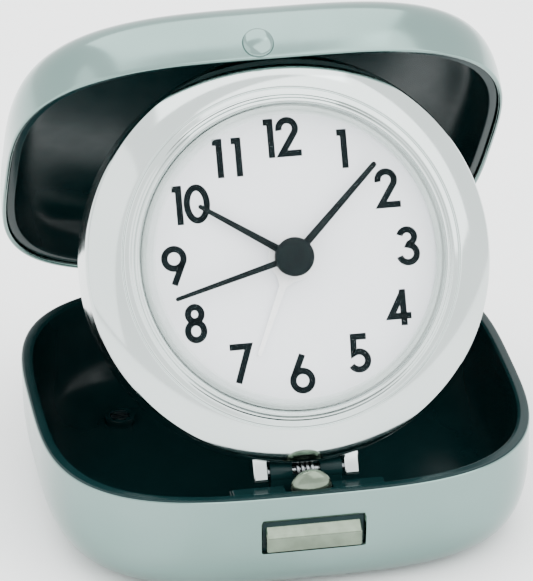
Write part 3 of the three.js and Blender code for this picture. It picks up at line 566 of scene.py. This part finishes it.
def base_shell():
    """Pressed half shell with a window in its front wall. Over the window the metal is scooped
    in by depth (1 - e)^2, where e is the distance from the window in scoop heights and widths."""
    start = mm(case().base_height)
    rim = rim_height()
    top, bottom = rim - WINDOW_TOP, rim - WINDOW_BOTTOM
    heights = np.concatenate([np.linspace(top, top + SCOOP, 9), [bottom, bottom - 0.12, bottom - 0.24]])
    levels = pillow(0.2, start, *BASE_ROUND, start, -1, 44, (start - heights) / start)
    edge = [[0.42, start + 0.05], [0.3, start + 0.05], [0.2, start - 0.05]]
    levels = np.concatenate([edge, levels[1:]])
    xs = [WINDOW_HALF, *np.linspace(WINDOW_HALF, WINDOW_HALF + SCOOP_SIDE, 5)[1:]]
    rows = case_rows(levels, round_the_case([*xs, *[-x for x in xs]]))
    corners, quads, triangles = grid(rows, cap_last=True)
    x, y, z = corners.T
    over = ((z - top) / SCOOP).clip(0)
    beside = ((np.abs(x) - WINDOW_HALF) / SCOOP_SIDE).clip(0)
    under = ((bottom - z) / SCOOP_UNDER).clip(0)
    near = (1 - np.sqrt(over**2 + beside**2 + under**2)).clip(0)
    corners[:, 1] += np.where(y < IN_FRONT, SCOOP_DEPTH * near**2, 0)
    x, y, z = corners[quads].mean(1).T
    inside = (np.abs(x) < WINDOW_HALF) & (y < IN_FRONT) & (z < top) & (z > bottom)
    part = walled(*outward_sheet(corners, quads[~inside], triangles), mm(case().wall) - 0.02)
    piece("base_half_shell", part, "base", "polished_metal", ["base_shell"])


def outward_sheet(corners, quads, triangles):
    """An open sheet whose faces point away from the middle of the case."""
    split = quads[:, [0, 1, 2]]
    a, b, c = (corners[split[:, k]] for k in range(3))
    if np.einsum("ij,ij->i", a - corners.mean(0), np.cross(b - a, c - a)).sum() < 0:
        return corners, quads[:, ::-1], triangles[:, ::-1]
    return corners, quads, triangles


SCREWS = [(x, y) for y in (15.6, -12.2) for x in (-16.8, 16.8)]  # places of the liner's screws


def base_liner():
    """Black tray inside the base: its lip covers the metal's edge, and its wall runs down to a
    floor. The catch housing, the hinge barrel's two halves and the screw bosses stand in it."""
    rim = rim_height()
    under = mm(case().base_height)
    outside = pillow(0.8, under - 0.6, *BASE_ROUND, under, -1)[::-1]
    lip = filleted([[0.8, under + 0.02], [0.3, under + 0.05], [0.26, rim - 0.08], [0.45, rim],
                    [1.35, rim], [1.8, rim - 0.35]], [0, 0.05, 0.06, 0.1, 0.25, 0.2])
    bowl = pillow(1.8, rim - 1.6, *BASE_ROUND, rim, -1, 40)[3:]
    levels = np.concatenate([outside[:-1], lip[:-1], bowl])
    tray = outward(*grid(case_rows(levels, round_the_case()), cap_first=True, cap_last=True))
    pin = clock_pin()
    pin_y, pin_z = pin[1:]
    deck, ledge = rim - 2.2, rim - 1
    ledges = [((x, -27.4, 5.5), (x + 6.2, pin_y - 1.8, ledge)) for x in (-9, 2.8)]
    decks = [((-9, pin_y - 2.0, 1.3), (9, pin_y + 0.2, deck))]
    cradles = [((x, pin_y - 1.2, deck - 1), (x + 2.6, pin_y + 0.1, pin_z)) for x in (-4.25, 1.65)]
    housing = joined(*[eased_block(low, high) for low, high in ledges + decks + cradles])
    half = filleted([[0.66, 1.65], [1.3, 1.65], [1.3, 4.3], [0.66, 4.3]], 0.12, closed=True)
    barrel = joined(*[round_pin(half * [1, side], pin, closed=True, count=64) for side in (1, -1)])
    ring_section = filleted([[1.2, 1.5], [1.2, 2.5], [1.9, 2.5], [1.9, 1.5]], 0.15, closed=True)
    boss = turned(ring_section, closed=True, count=48)
    bosses = joined(*[moved(boss, lambda p, x=x, y=y: p + [x, y, 0]) for x, y in SCREWS])
    parts = {"base_tray_liner": tray, "catch_housing": housing, "clock_hinge_barrel": barrel,
             "screw_bosses": bosses}
    for name, part in parts.items():
        piece(name, part, "base", "gloss_black", ["base_liner"])


def small_hardware():
    """The clock's hinge pin with eased ends, and the spring round it."""
    pin = filleted([[0, -6.15], [0.6, -6.15], [0.6, 6.15], [0, 6.15]], 0.15)
    piece("clock_pin", round_pin(pin, clock_pin(), count=40), "base", "steel", ["clock_hinge_pin"])
    coil, half_long, turns = 0.98, 1.15, 4
    t = np.linspace(0, 2 * np.pi * turns, 160)
    helix = np.stack([half_long * (2 * t / t[-1] - 1), coil * np.cos(t), coil * np.sin(t)], -1)
    piece("torsion_spring", tube(helix + clock_pin(), 0.2), "base", "steel", ["clock_spring"])


def release_button():
    """Wedge carried across the window: its face slopes out to a nose near the bottom."""
    rim = rim_height()
    play = 0.25
    half = WINDOW_HALF - play
    high, low = rim - WINDOW_TOP - play, rim - WINDOW_BOTTOM + play
    wall = -mm(case().half_depth)
    front, inside = wall + 0.2, wall + 3.3
    section = filleted([[inside, high], [front + 0.75, high], [front - 0.45, high - 1.2],
                        [front - 0.35, low], [inside, low]], [0.1, 0.25, 0.2, 0.2, 0.1], closed=True)
    piece("wedge_button", along_x(section, -half, half, 0.14), "latch", "nickel", ["release_button"],
          sharp=28)


def catch():
    """Half dome behind the rim, an ellipsoid's upper half, on its stem."""
    rim = rim_height()
    middle, across, deep, high = -26.6, 2.45, 1.15, 2.3
    u = np.linspace(0, np.pi / 2, 20)
    quarter = np.stack([np.cos(u), np.sin(u)], -1)[:-1]
    rows = turned_rows(quarter, 64) * [across, deep, high] + [0, middle, rim - 0.2]
    corners, quads, triangles = grid(rows, cap_first=True, cap_last=True)
    corners[-1] = [0, middle, rim - 0.2 + high]
    dome = outward(corners, quads, triangles)
    stem = eased_block((-2.25, -27.4, rim - 3), (2.25, -25.4, rim - 0.25), 0.1)
    foot = eased_block((-2.25, -25.6, rim - 6.8), (2.25, -25.36, rim - 2.8), 0.05)
    piece("catch_half_dome", joined(dome, stem, foot), "latch", "nickel", ["catch_dome"])


BUMP = (-1.7, 2.1)  # where the dimple stands: a little to the left of the middle, and above the rim


def lid_shell():
    """Pressed lid with a rolled rim, and the round dimple z = h (1 - u^p)^(1/p) over the catch."""
    start = rim_height() + 0.1
    out = mm(case().lid_overhang)
    height = mm(case().lid_height)
    outer = pillow(0.2 - out, height, *LID_ROUND, start, 1, 44)
    inner = pillow(0.72 - out, height - 0.5, *LID_ROUND, start, 1, 44)[::-1]
    rolled = filleted([[0.72, start + 0.55], [0.7, start + 0.12], [0.5, start], [0.3, start],
                       [0.2, start + 0.16], [0.2, start + 0.6]], [0, 0.1, 0.1, 0.1, 0.1, 0]) - [out, 0]
    over = start + 0.7
    levels = np.concatenate([inner[inner[:, 1] > over], rolled, outer[outer[:, 1] > over]])
    shell = outward(*grid(case_rows(levels, round_the_case()), cap_first=True, cap_last=True))
    piece("lid_half_shell", shell, "lid", "polished_metal", ["lid_shell"])
    radius, rise, power = 1.9, 0.75, 2.4
    u = np.linspace(0, 1, 24)
    crown = np.stack([radius * u, rise * (1 - u**power).clip(0) ** (1 / power)], -1)
    profile = np.concatenate([crown, [[radius, -0.3], [0, -0.3]]])
    place = np.array([BUMP[0], -mm(case().half_depth) - out + 0.25, rim_height() + BUMP[1]])
    dimple = moved(turned(profile, count=72), lambda p: p[..., [0, 2, 1]] * [1, -1, 1] + place)
    piece("lid_bump", outward(*dimple), "lid", "polished_metal", ["lid_shell"])


def lid_liner():
    """Black cover inside the lid, set 0.5 mm back from the rim."""
    start = rim_height() + 0.6
    out = mm(case().lid_overhang)
    height = mm(case().lid_height) - 0.5
    outside = pillow(0.8 - out, height - 0.6, *LID_ROUND, start, 1)[::-1]
    edge = filleted([[0.8, start + 0.3], [0.82, start], [1.75, start], [1.8, start + 0.3]],
                    [0, 0.12, 0.12, 0]) - [out, 0]
    inside = pillow(1.8 - out, height - 1.6, *LID_ROUND, start, 1, 44)
    levels = np.concatenate([outside[:-3], edge, inside[inside[:, 1] > start + 0.35]])
    liner = outward(*grid(case_rows(levels, round_the_case()), cap_first=True, cap_last=True))
    piece("lid_cover_liner", liner, "lid", "gloss_black", ["lid_liner"])


def hinge_leaves():
    """Two hinge leaves with rolled knuckles on the outside of the back walls, and their pin."""
    pin_z = lid_pin()[2]
    rim = rim_height()
    half, thick = 11, 0.6

    def knuckle(a, b):
        ring_section = filleted([[0.62, a], [1.3, a], [1.3, b], [0.62, b]], 0.1, closed=True)
        return round_pin(ring_section, lid_pin(), closed=True, count=48)

    seat = 28.95  # the base leaf's inner face
    leaf = eased_block((-half, seat, pin_z - 4.6), (half, seat + thick, pin_z - 1.6), 0.2)
    webs = [eased_block((a, seat, pin_z - 2.2), (a + 5.9, seat + thick, pin_z + 0.2), 0.08)
            for a in (-half, 5.1)]
    piece("base_leaf", joined(leaf, *webs, knuckle(-half, -5.1), knuckle(5.1, half)), "base", "chrome",
          ["base_hinge_leaf"])
    front = mm(case().half_depth + case().lid_overhang) - 0.15
    upper = eased_block((-half, front, rim + 0.6), (half, front + thick, rim + 4.6), 0.2)
    web = eased_block((-4.85, front, pin_z - 0.1), (4.85, front + thick, rim + 1), 0.08)
    piece("lid_leaf", joined(upper, web, knuckle(-4.9, 4.9)), "lid", "chrome", ["lid_hinge_leaf"])
    pin = filleted([[0, -half], [0.58, -half], [0.58, half], [0, half]], 0.12)
    piece("lid_pin", round_pin(pin, lid_pin(), count=40), "base", "steel", ["lid_hinge_pin"])


DOME_MIDDLE = 17.4  # where the crown of the ring's dome would be, from the middle of the face
HOLLOW = 1.55  # radius of the hollow in the ring's wall round the hinge barrel
LUGS = (4.6, 6.25)  # inner and outer faces of the hinge lugs, from the middle


def clear_of_barrel(points):
    """The ring's wall hollowed round the hinge barrel: a point nearer to the pin than the hollow's
    radius moves straight out from the pin to that radius."""
    x, y, z = points.T
    up, out = y + mm(face().above_pin), z + PIN_BACK
    away = np.hypot(up, out)
    push = np.where((np.abs(x) < LUGS[0]) & (away < HOLLOW), HOLLOW / away.clip(0.1), 1)
    return np.stack([x, up * push - mm(face().above_pin), out * push - PIN_BACK], -1)


def ring():
    """Turned ring: side wall, a domed band z = sqrt(R^2 - (r - r0)^2), a fine groove and a bead."""
    outer, depth, hole = mm(face().ring_radius), mm(face().ring_depth), mm(face().opening)
    bead = [[hole, 0.3], [hole, 2.2], [hole + 0.12, 2.5], [hole + 0.45, 2.6], [hole + 0.7, 2.35],
            [hole + 0.8, 2.05], [hole + 1.0, 1.95], [hole + 1.2, 1.66], [19.72, 1.5], [19.88, 1.3]]
    bead_ease = [0.1, 0.15, 0.12, 0.15, 0.12, 0.1, 0.12, 0.3, 0.08, 0.08]
    band_start, band_height = 20.05, 1.42
    r = np.linspace(band_start, outer - 0.25, 24)
    dome = np.sqrt(mm(face().ring_dome) ** 2 - (r - DOME_MIDDLE) ** 2)
    band = np.stack([r, band_height + dome - dome[0]], -1)
    band_ease = [0.06, *[0.0] * 22, 0.2]
    side = np.linspace(-1.75, -5.2, 14)
    wall = [[outer - 0.04, -1.0], [outer, -1.6], *[[outer, z] for z in side]]
    wall_ease = [0.4, 0.2, *[0.0] * 14]
    back_edge = [[outer, -depth + 0.15], [outer - 0.2, -depth], [outer - 1, -depth], [outer - 1, -0.8]]
    profile = filleted(np.concatenate([bead, band, wall, back_edge]),
                       [*bead_ease, *band_ease, *wall_ease, 0.1, 0.1, 0.1, 0.3], closed=True, steps=9)
    body = moved(turned(profile, closed=True, count=240), clear_of_barrel)
    piece("bright_ring", body, "clock", "chrome", ["bezel_ring"], sharp=50)
    pin = -mm(face().above_pin)
    plan = filleted([[pin - 1.2, -4.8], [pin - 1.2, -1.9], [pin + 2.2, -1.9], [pin + 2.2, -4.8]],
                    [0.75, 0.5, 0.1, 0.1], closed=True)
    near, far = LUGS
    lugs = joined(along_x(plan, -far, -near, 0.12), along_x(plan, near, far, 0.12))
    piece("hinge_lugs", lugs, "clock", "chrome", ["bezel_ring"])


def crystal():
    """Raised crystal: a flat top, a round shoulder and an upright wall that stands in the ring."""
    radius = mm(face().opening) - 0.08
    profile = filleted([[0, 5.08], [radius - 1.6, 5.0], [radius - 0.35, 4.6], [radius, 3.7],
                        [radius, 1.65], [radius - 0.8, 1.65], [radius - 0.8, 3.5],
                        [radius - 1.8, 4.2], [0, 4.25]],
                       [0, 0.9, 0.5, 0.5, 0.1, 0.1, 0.5, 0.6, 0])
    lens = piece("raised_crystal", turned(profile, count=200), "clock", "clear_lens", ["crystal"])
    # Faces near the edge get the grey-green edge finish: painted reflection and shade of the turned
    # edge.
    lens.data.materials.append(finish_for("lens_edge"))
    painted_reflection_width = 1.2
    middle, ahead = on_clock(np.array([[0, 0, 0], [0, 0, 1.0]]))
    away = np.array([p.center[:] for p in lens.data.polygons]) / MM - middle
    normal = ahead - middle
    flat = away - (away @ normal)[:, None] * normal
    painted_reflection_faces = np.linalg.norm(flat, axis=1) > radius - painted_reflection_width
    lens.data.polygons.foreach_set("material_index", painted_reflection_faces.astype(np.int32))
    out, hole = radius - 0.02, radius - 0.7
    band = filleted([[out, 1.2], [out, 1.53], [hole, 1.53], [hole, 1.2]], 0.08, closed=True)
    piece("inner_reflector", turned(band, closed=True, count=200), "clock", "chrome",
          ["reflector_ring"])


# Centre lines of the numerals: a numeral is 1 high, y runs from 0 to 1, and a stroke is STROKE wide.
STROKE = 0.165
# How far each figure stands to the side of its numeral's middle, in numeral heights.
FIGURE_PLACES = {"1": (0.075,), "10": (-0.15, 0.30), "11": (-0.12, 0.367), "12": (-0.28, 0.182)}
NUMERALS_UP = 0.2  # the printing sits a little above the arbor, in millimetres


def arc(cx, cy, rx, ry, start, end, count=28):
    """Part of an ellipse, (cx + rx cos t, cy + ry sin t), with t in degrees from start to end."""
    t = np.radians(np.linspace(start, end, count))
    return np.stack([cx + rx * np.cos(t), cy + ry * np.sin(t)], -1)


def figure_strokes(figure):
    h = STROKE / 2
    low, high = h, 1 - h
    if figure == "0":
        return [(arc(0, 0.5, 0.255, 0.5 - h, 0, 360, 56)[:-1], True)]
    if figure == "1":
        return [(np.array([[-0.17, high - 0.005], [0.0, high - 0.005], [0.0, 0.0]]), False)]
    if figure == "2":
        bowl = arc(-0.03, 0.715, 0.212, 0.215, 190, -28)
        return [(np.concatenate([bowl, [[-0.2, low], [0.31, low]]]), False)]
    if figure == "3":
        bowls = arc(-0.02, 0.735, 0.19, 0.185, 165, -75), arc(-0.02, 0.305, 0.225, 0.222, 82, -165)
        return [(np.concatenate(bowls), False)]
    if figure == "4":
        return [(np.array([[0.33, 0.245], [-0.2, 0.245], [0.135, 0.83]]), False),
                (np.array([[0.135, 0.92], [0.135, 0.0]]), False)]
    if figure == "5":
        bowl = arc(-0.015, 0.31, 0.228, 0.228, 122, -150)
        return [(np.concatenate([[[0.21, high], [-0.125, high]], bowl]), False)]
    if figure in "69":
        ring_path = arc(0, 0.33, 0.245, 0.247, 0, 360, 48)[:-1]
        arm = np.array([[-0.225, 0.42], [0.04, 0.995]])
        both = [(ring_path, True), (arm, False)]
        return both if figure == "6" else [([0, 1] - path, loop) for path, loop in both]
    if figure == "7":
        return [(np.array([[-0.29, high], [0.2, high], [-0.13, 0.0]]), False)]
    return [(arc(0, 0.735, 0.172, 0.182, 0, 360, 44)[:-1], True),
            (arc(0, 0.305, 0.205, 0.223, 0, 360, 48)[:-1], True)]


def ribbon(path, loop, width, z0, z1):
    """Flat stroke along a path: its two sides lie half a width away along the mitre at each corner,
    and it is carried from z0 to z1."""
    path = np.asarray(path, float)
    if loop:
        before, after = path - np.roll(path, 1, 0), np.roll(path, -1, 0) - path
    else:
        step = np.diff(path, axis=0)
        before, after = np.concatenate([step[:1], step]), np.concatenate([step, step[-1:]])
    before = before / np.linalg.norm(before, axis=1, keepdims=True).clip(1e-9)
    after = after / np.linalg.norm(after, axis=1, keepdims=True).clip(1e-9)
    mitre = before + after
    mitre /= np.linalg.norm(mitre, axis=1, keepdims=True).clip(1e-9)
    stretch = 1 / np.einsum("ij,ij->i", mitre, after).clip(0.28)
    side = np.stack([-mitre[:, 1], mitre[:, 0]], -1) * (stretch * width / 2)[:, None]
    left, right = path + side, path - side
    sides = ((left, z1), (right, z1), (right, z0), (left, z0))
    section = np.stack([at_height(flat, z) for flat, z in sides], 1)
    if loop:
        return outward(*grid(section, loop_rows=True))
    return outward(*grid(section, cap_first=True, cap_last=True))


def dial():
    """Dial card with its printed numerals, which stand upright on one circle."""
    radius = mm(face().opening) - 0.1
    card = filleted([[1.9, 0.75], [radius, 0.75], [radius, 1.15], [1.9, 1.15]], 0.04, closed=True)
    piece("dial_card", turned(card, closed=True, count=200), "clock", "dial_white", ["dial"])
    size = mm(face().numeral_height)
    circle = mm(face().numeral_circle)
    under, top = 1.14, 1.175  # the ink's two faces
    parts = []
    for hour in range(1, 13):
        angle = math.radians(30 * hour)
        centre = np.array([circle * math.sin(angle), circle * math.cos(angle) + NUMERALS_UP])
        word = str(hour)
        for figure, shift in zip(word, FIGURE_PLACES.get(word, (0,))):
            for path, loop in figure_strokes(figure):
                flat = (path + [shift, -0.5]) * size + centre
                parts.append(ribbon(flat, loop, STROKE * size, under, top))
    piece("numerals", joined(*parts), "clock", "dial_white", finish="ink")


def hand(length, root, tip, hub, z, thickness, angle, flare=0.0):
    """Hand as one outline: a round hub, a tapered blade and a rounded tip, turned clockwise."""
    start = math.asin(min(root / 2 / hub, 0.9)) + flare
    tip_arc = arc(0, length - tip / 2, tip / 2, tip / 2, 0, 180, 14)
    reach = hub * math.cos(start) + 1.0
    right_root, left_root = ([[side * root / 2, reach]] if flare else np.zeros((0, 2))
                             for side in (1, -1))
    t = np.radians(np.linspace(90 + math.degrees(start), 450 - math.degrees(start), 90))
    hub_arc = np.stack([hub * np.cos(t), hub * np.sin(t)], -1)
    outline = np.concatenate([right_root, tip_arc, left_root, hub_arc])
    c, s = math.cos(-angle), math.sin(-angle)
    outline = outline @ np.array([[c, s], [-s, c]])
    return extruded(outline, z, z + thickness, 0.03)


def hands():
    """Alarm, hour, minute and second hands, one over the other, and the cap on top."""
    turn = face()
    # Which hand, its reach, widths at root and tip, hub, height, angle, flare and colour.
    layers = [
        ("alarm", 12.2, 0.8, 0.5, 2.85, 1.55, turn.alarm_angle, 0.25, "hand_white"),
        ("hour", 12.6, 0.86, 0.52, 2.2, 2.05, turn.hour_angle, 0, "hand_black"),
        ("minute", 14.7, 0.92, 0.64, 2.2, 2.55, turn.minute_angle, 0, "hand_black"),
        ("second", 14.8, 0.74, 0.48, 2.1, 3.05, turn.second_angle, 0, "hand_black"),
    ]
    thick = 0.2
    for name, reach, root, tip, hub, z, clockwise, flare, slot in layers:
        part = hand(reach, root, tip, hub, z, thick, clockwise, flare)
        piece(f"{name}_pointer", part, f"{name}_train", slot, [f"{name}_hand"])
    cap = filleted([[0, 3.86], [1.9, 3.84], [2.3, 3.62], [2.3, 3.3], [0, 3.3]], [0, 0.3, 0.15, 0.08, 0])
    piece("hand_cap", turned(cap, count=96), "second_train", "hand_black", ["hub_cap"])


def fluted(radius, z0, z1, flutes=14, deep=0.2):
    """Knob whose outline is r(t) = radius - deep (1 - cos(flutes t)) / 2, with eased ends."""
    t = np.linspace(0, 2 * np.pi, flutes * 12, endpoint=False)
    r = radius - deep * (1 - np.cos(flutes * t)) / 2
    return extruded(np.stack([r * np.cos(t), r * np.sin(t)], -1), z0, z1, 0.22)


def pill(half_length, half_width, x, y, z0, z1):
    """Bar with round ends, flat on the back of the drum."""
    ends = [arc(side * (half_length - half_width), 0, half_width, half_width, start, start + 180, 12)
            for side, start in ((1, -90), (-1, 90))]
    return extruded(np.concatenate(ends) + [x, y], z0, z1, 0.06)


DRUM_BACK = -13.6
DRUM_EDGE = 20.1  # how far from the middle the battery cover reaches
KNOB_CIRCLE = 7.2  # from the middle to the knobs


def back():
    """Drum of the movement with its chamfered back, the fluted knobs, the slide switch, the sound
    slots and the battery cover, whose plan is a square drawn in to the drum's edge."""
    drum = filleted([[0, -12.4], [19.6, -12.4], [21.7, -9.5], [21.7, -0.8], [22.9, -0.8], [22.9, -9.7],
                     [20.4, DRUM_BACK], [0, DRUM_BACK]], [0, 0.4, 0.5, 0.1, 0.1, 0.8, 0.5, 0])
    piece("movement_drum", turned(drum, count=200), "clock", "matt_black", ["drum_case"])
    # The sound slots and the switch's slot are not cut. Flat, darker gloss-black patches, 0.06 mm proud
    # of the back, stand in for them: painted shade of the openings.
    painted_slot_span = (DRUM_BACK - 0.06, DRUM_BACK + 0.05)
    slots = [pill(3.4 - 0.55 * abs(k), 0.32, 2.5, -13 + 1.5 * k, *painted_slot_span) for k in range(-2, 3)]
    slots.append(pill(2.2, 0.85, 9, 13.5, *painted_slot_span))
    piece("sound_slots_painted_shade", joined(*slots), "clock", "matt_black", finish="gloss_black")
    arm = KNOB_CIRCLE * math.sqrt(0.5)
    for name, side, radius, flutes in (("time", -1, 2.6, 14), ("alarm", 1, 2.2, 12)):
        knob = moved(fluted(radius, -15.3, -13.8, flutes), lambda p, x=side * arm: p + [x, -arm, 0])
        piece(f"{name}_setting_knob", knob, f"{name}_setter", "matt_black", [f"{name}_knob"])
    nub = eased_block((7.3, 13.0, -14.5), (8.7, 14.0, -12.2), 0.12)
    foot = eased_block((6.6, 12.4, -12.3), (9.4, 14.6, -11.7))
    piece("slide_switch", joined(nub, foot), "alarm_slider", "white_plastic", ["alarm_switch"])
    square = filleted([[-19.8, -2.1], [-6.6, -2.1], [-6.6, 11.1], [-19.8, 11.1]], 0.8, closed=True)
    part_way = np.linspace(0, 1, 16, endpoint=False)[:, None]
    fine = np.concatenate([a + (b - a) * part_way for a, b in zip(square, np.roll(square, -1, 0))
                           if np.linalg.norm(b - a) > 1e-6])
    plan = fine * np.minimum(1, DRUM_EDGE / np.linalg.norm(fine, axis=1, keepdims=True))
    ribs = [pill(2.6, 0.28, -13.2, 2.5 + k, -14.72, -14.4) for k in range(5)]
    cover = joined(extruded(plan, -14.5, -13.7, 0.12), *ribs)
    piece("battery_door_plate", cover, "battery_door", "matt_black", ["battery_cover"])


class StageMaker(bpy.types.Operator):
    """Makes the floor, the lights and the camera"""

    bl_idname = "clock.stage"
    bl_label = "Stage"

    def execute(self, context):
        floor = bpy.data.meshes.new("floor")
        half = 4.0
        corners = [(-half, -half, 0), (half, -half, 0), (half, half, 0), (-half, half, 0)]
        floor.from_pydata(corners, [], [(0, 1, 2, 3)])
        plane = bpy.data.objects.new("floor", floor)
        context.scene.collection.objects.link(plane)
        floor.materials.append(finish_for("paper"))
        add_lights(context)
        add_camera(context)
        return {"FINISHED"}


def add_lights(context):
    world = bpy.data.worlds.new("studio")
    world.use_nodes = True
    sky = world.node_tree.nodes["Background"]
    sky.inputs["Color"].default_value = linear("#F8FAFA")
    sky.inputs["Strength"].default_value = 2.4
    context.scene.world = world
    softboxes = [
        ("key softbox", (0.4, -0.5, 0.7), 0.9, 6.0),
        ("fill softbox", (-0.7, -0.3, 0.4), 0.8, 2.0),
        ("top softbox", (0.0, 0.3, 0.9), 1.0, 8.0),
    ]
    for name, place, size, power in softboxes:
        light = bpy.data.lights.new(name, "AREA")
        light.size = size
        light.energy = power
        lamp = bpy.data.objects.new(name, light)
        lamp.location = place
        aim = Vector((0, 0, 0.03)) - Vector(place)
        lamp.rotation_euler = aim.to_track_quat("-Z", "Y").to_euler()
        context.scene.collection.objects.link(lamp)


def add_camera(context):
    """Camera 0.55 m from the clock, to its left and above it, turned half a degree round its view."""
    azimuth, elevation, roll = math.radians(-9.56), math.radians(27.25), math.radians(-0.49)
    target = Vector((-0.00061, 0, 0.0264))
    level = math.cos(elevation)
    back_way = Vector((math.sin(azimuth) * level, -math.cos(azimuth) * level, math.sin(elevation)))
    right = Vector((math.cos(azimuth), math.sin(azimuth), 0))
    up = back_way.cross(right)
    side = right * math.cos(roll) + up * math.sin(roll)
    top = up * math.cos(roll) - right * math.sin(roll)
    data = bpy.data.cameras.new("camera")
    data.sensor_width = 36
    data.lens = 282.53
    data.clip_start = 0.01
    camera = bpy.data.objects.new("camera", data)
    camera.matrix_world = Matrix.Translation(target + back_way * 0.55) @ Matrix(
        (side, top, back_way)).transposed().to_4x4()
    context.scene.collection.objects.link(camera)
    context.scene.camera = camera


def paint_frame():
    """Every node of the frame gets the finish of its own slot."""
    slots = {entry["node"]: entry["material_slot"] for entry in FRAME["record"]["subparts"]}
    for name, node in FRAME["nodes"].items():
        node.data.materials.clear()
        node.data.materials.append(finish_for(slots[name]))


class Maker:
    """What the operators below share: each runs its own steps."""

    steps = ()

    def execute(self, context):
        for step in self.steps:
            step()
        return {"FINISHED"}


class FrameFinish(Maker, bpy.types.Operator):
    """Gives the movement inside the drum and every other node of the frame its material"""

    bl_idname = "clock.frame_finish"
    bl_label = "Movement finishes"
    steps = (paint_frame,)


class BaseShellMaker(Maker, bpy.types.Operator):
    """Makes the metal half shell of the base, with its button window"""

    bl_idname = "clock.base_shell"
    bl_label = "Base shell"
    steps = (base_shell,)


class BaseLinerMaker(Maker, bpy.types.Operator):
    """Makes the black tray of the base, the catch housing, the hinge barrel and the screw bosses"""

    bl_idname = "clock.base_liner"
    bl_label = "Base liner"
    steps = (base_liner,)


class LatchMaker(Maker, bpy.types.Operator):
    """Makes the wedge button and the half dome that catches the lid"""

    bl_idname = "clock.latch"
    bl_label = "Latch"
    steps = (release_button, catch)


class LidMaker(Maker, bpy.types.Operator):
    """Makes the metal lid with its dimple, and the black cover inside it"""

    bl_idname = "clock.lid"
    bl_label = "Lid"
    steps = (lid_shell, lid_liner)


class HingeMaker(Maker, bpy.types.Operator):
    """Makes the hinge leaves, both pins and the spring that tips the clock up"""

    bl_idname = "clock.hinges"
    bl_label = "Hinges"
    steps = (hinge_leaves, small_hardware)


class RingMaker(Maker, bpy.types.Operator):
    """Makes the bright ring with its hinge lugs"""

    bl_idname = "clock.ring"
    bl_label = "Ring"
    steps = (ring,)


class CrystalMaker(Maker, bpy.types.Operator):
    """Makes the raised crystal and the reflector under its edge"""

    bl_idname = "clock.crystal"
    bl_label = "Crystal"
    steps = (crystal,)


class DialMaker(Maker, bpy.types.Operator):
    """Makes the dial card and its numerals"""

    bl_idname = "clock.dial"
    bl_label = "Dial"
    steps = (dial,)


class HandsMaker(Maker, bpy.types.Operator):
    """Makes the four hands and the cap over them"""

    bl_idname = "clock.hands"
    bl_label = "Hands"
    steps = (hands,)


class BackMaker(Maker, bpy.types.Operator):
    """Makes the drum, the knobs, the slide switch and the battery cover"""

    bl_idname = "clock.back"
    bl_label = "Back"
    steps = (back,)


MAKER_CLASSES = (StageMaker, FrameFinish, BaseShellMaker, BaseLinerMaker, LatchMaker, LidMaker,
                 HingeMaker, RingMaker, CrystalMaker, DialMaker, HandsMaker, BackMaker)


class ClockPanel(bpy.types.Panel):
    """Sizes, colours and makers of the travel clock"""

    bl_idname = "VIEW3D_PT_travel_clock"
    bl_label = "Travel clock"
    bl_space_type = "VIEW_3D"
    bl_region_type = "UI"
    bl_category = "Travel clock"

    def draw(self, context):
        for group in (context.scene.clock_case, context.scene.clock_face, context.scene.clock_colours):
            box = self.layout.box()
            for name in group.__annotations__:
                box.prop(group, name)
        for cls in MAKER_CLASSES:
            self.layout.operator(cls.bl_idname)


CLASSES = (CaseSizes, FaceSizes, ClockColours, *MAKER_CLASSES, ClockPanel)


def register():
    for cls in CLASSES:
        bpy.utils.register_class(cls)
    bpy.types.Scene.clock_case = bpy.props.PointerProperty(type=CaseSizes)
    bpy.types.Scene.clock_face = bpy.props.PointerProperty(type=FaceSizes)
    bpy.types.Scene.clock_colours = bpy.props.PointerProperty(type=ClockColours)


def unregister():
    del bpy.types.Scene.clock_case
    del bpy.types.Scene.clock_face
    del bpy.types.Scene.clock_colours
    for cls in reversed(CLASSES):
        bpy.utils.unregister_class(cls)


def main():
    register()
    bpy.ops.clock.stage()
    bpy.ops.clock.frame_finish()
    bpy.ops.clock.base_shell()
    bpy.ops.clock.base_liner()
    bpy.ops.clock.latch()
    bpy.ops.clock.lid()
    bpy.ops.clock.hinges()
    bpy.ops.clock.ring()
    bpy.ops.clock.crystal()
    bpy.ops.clock.dial()
    bpy.ops.clock.hands()
    bpy.ops.clock.back()


if __name__ == "__main__":
    main()
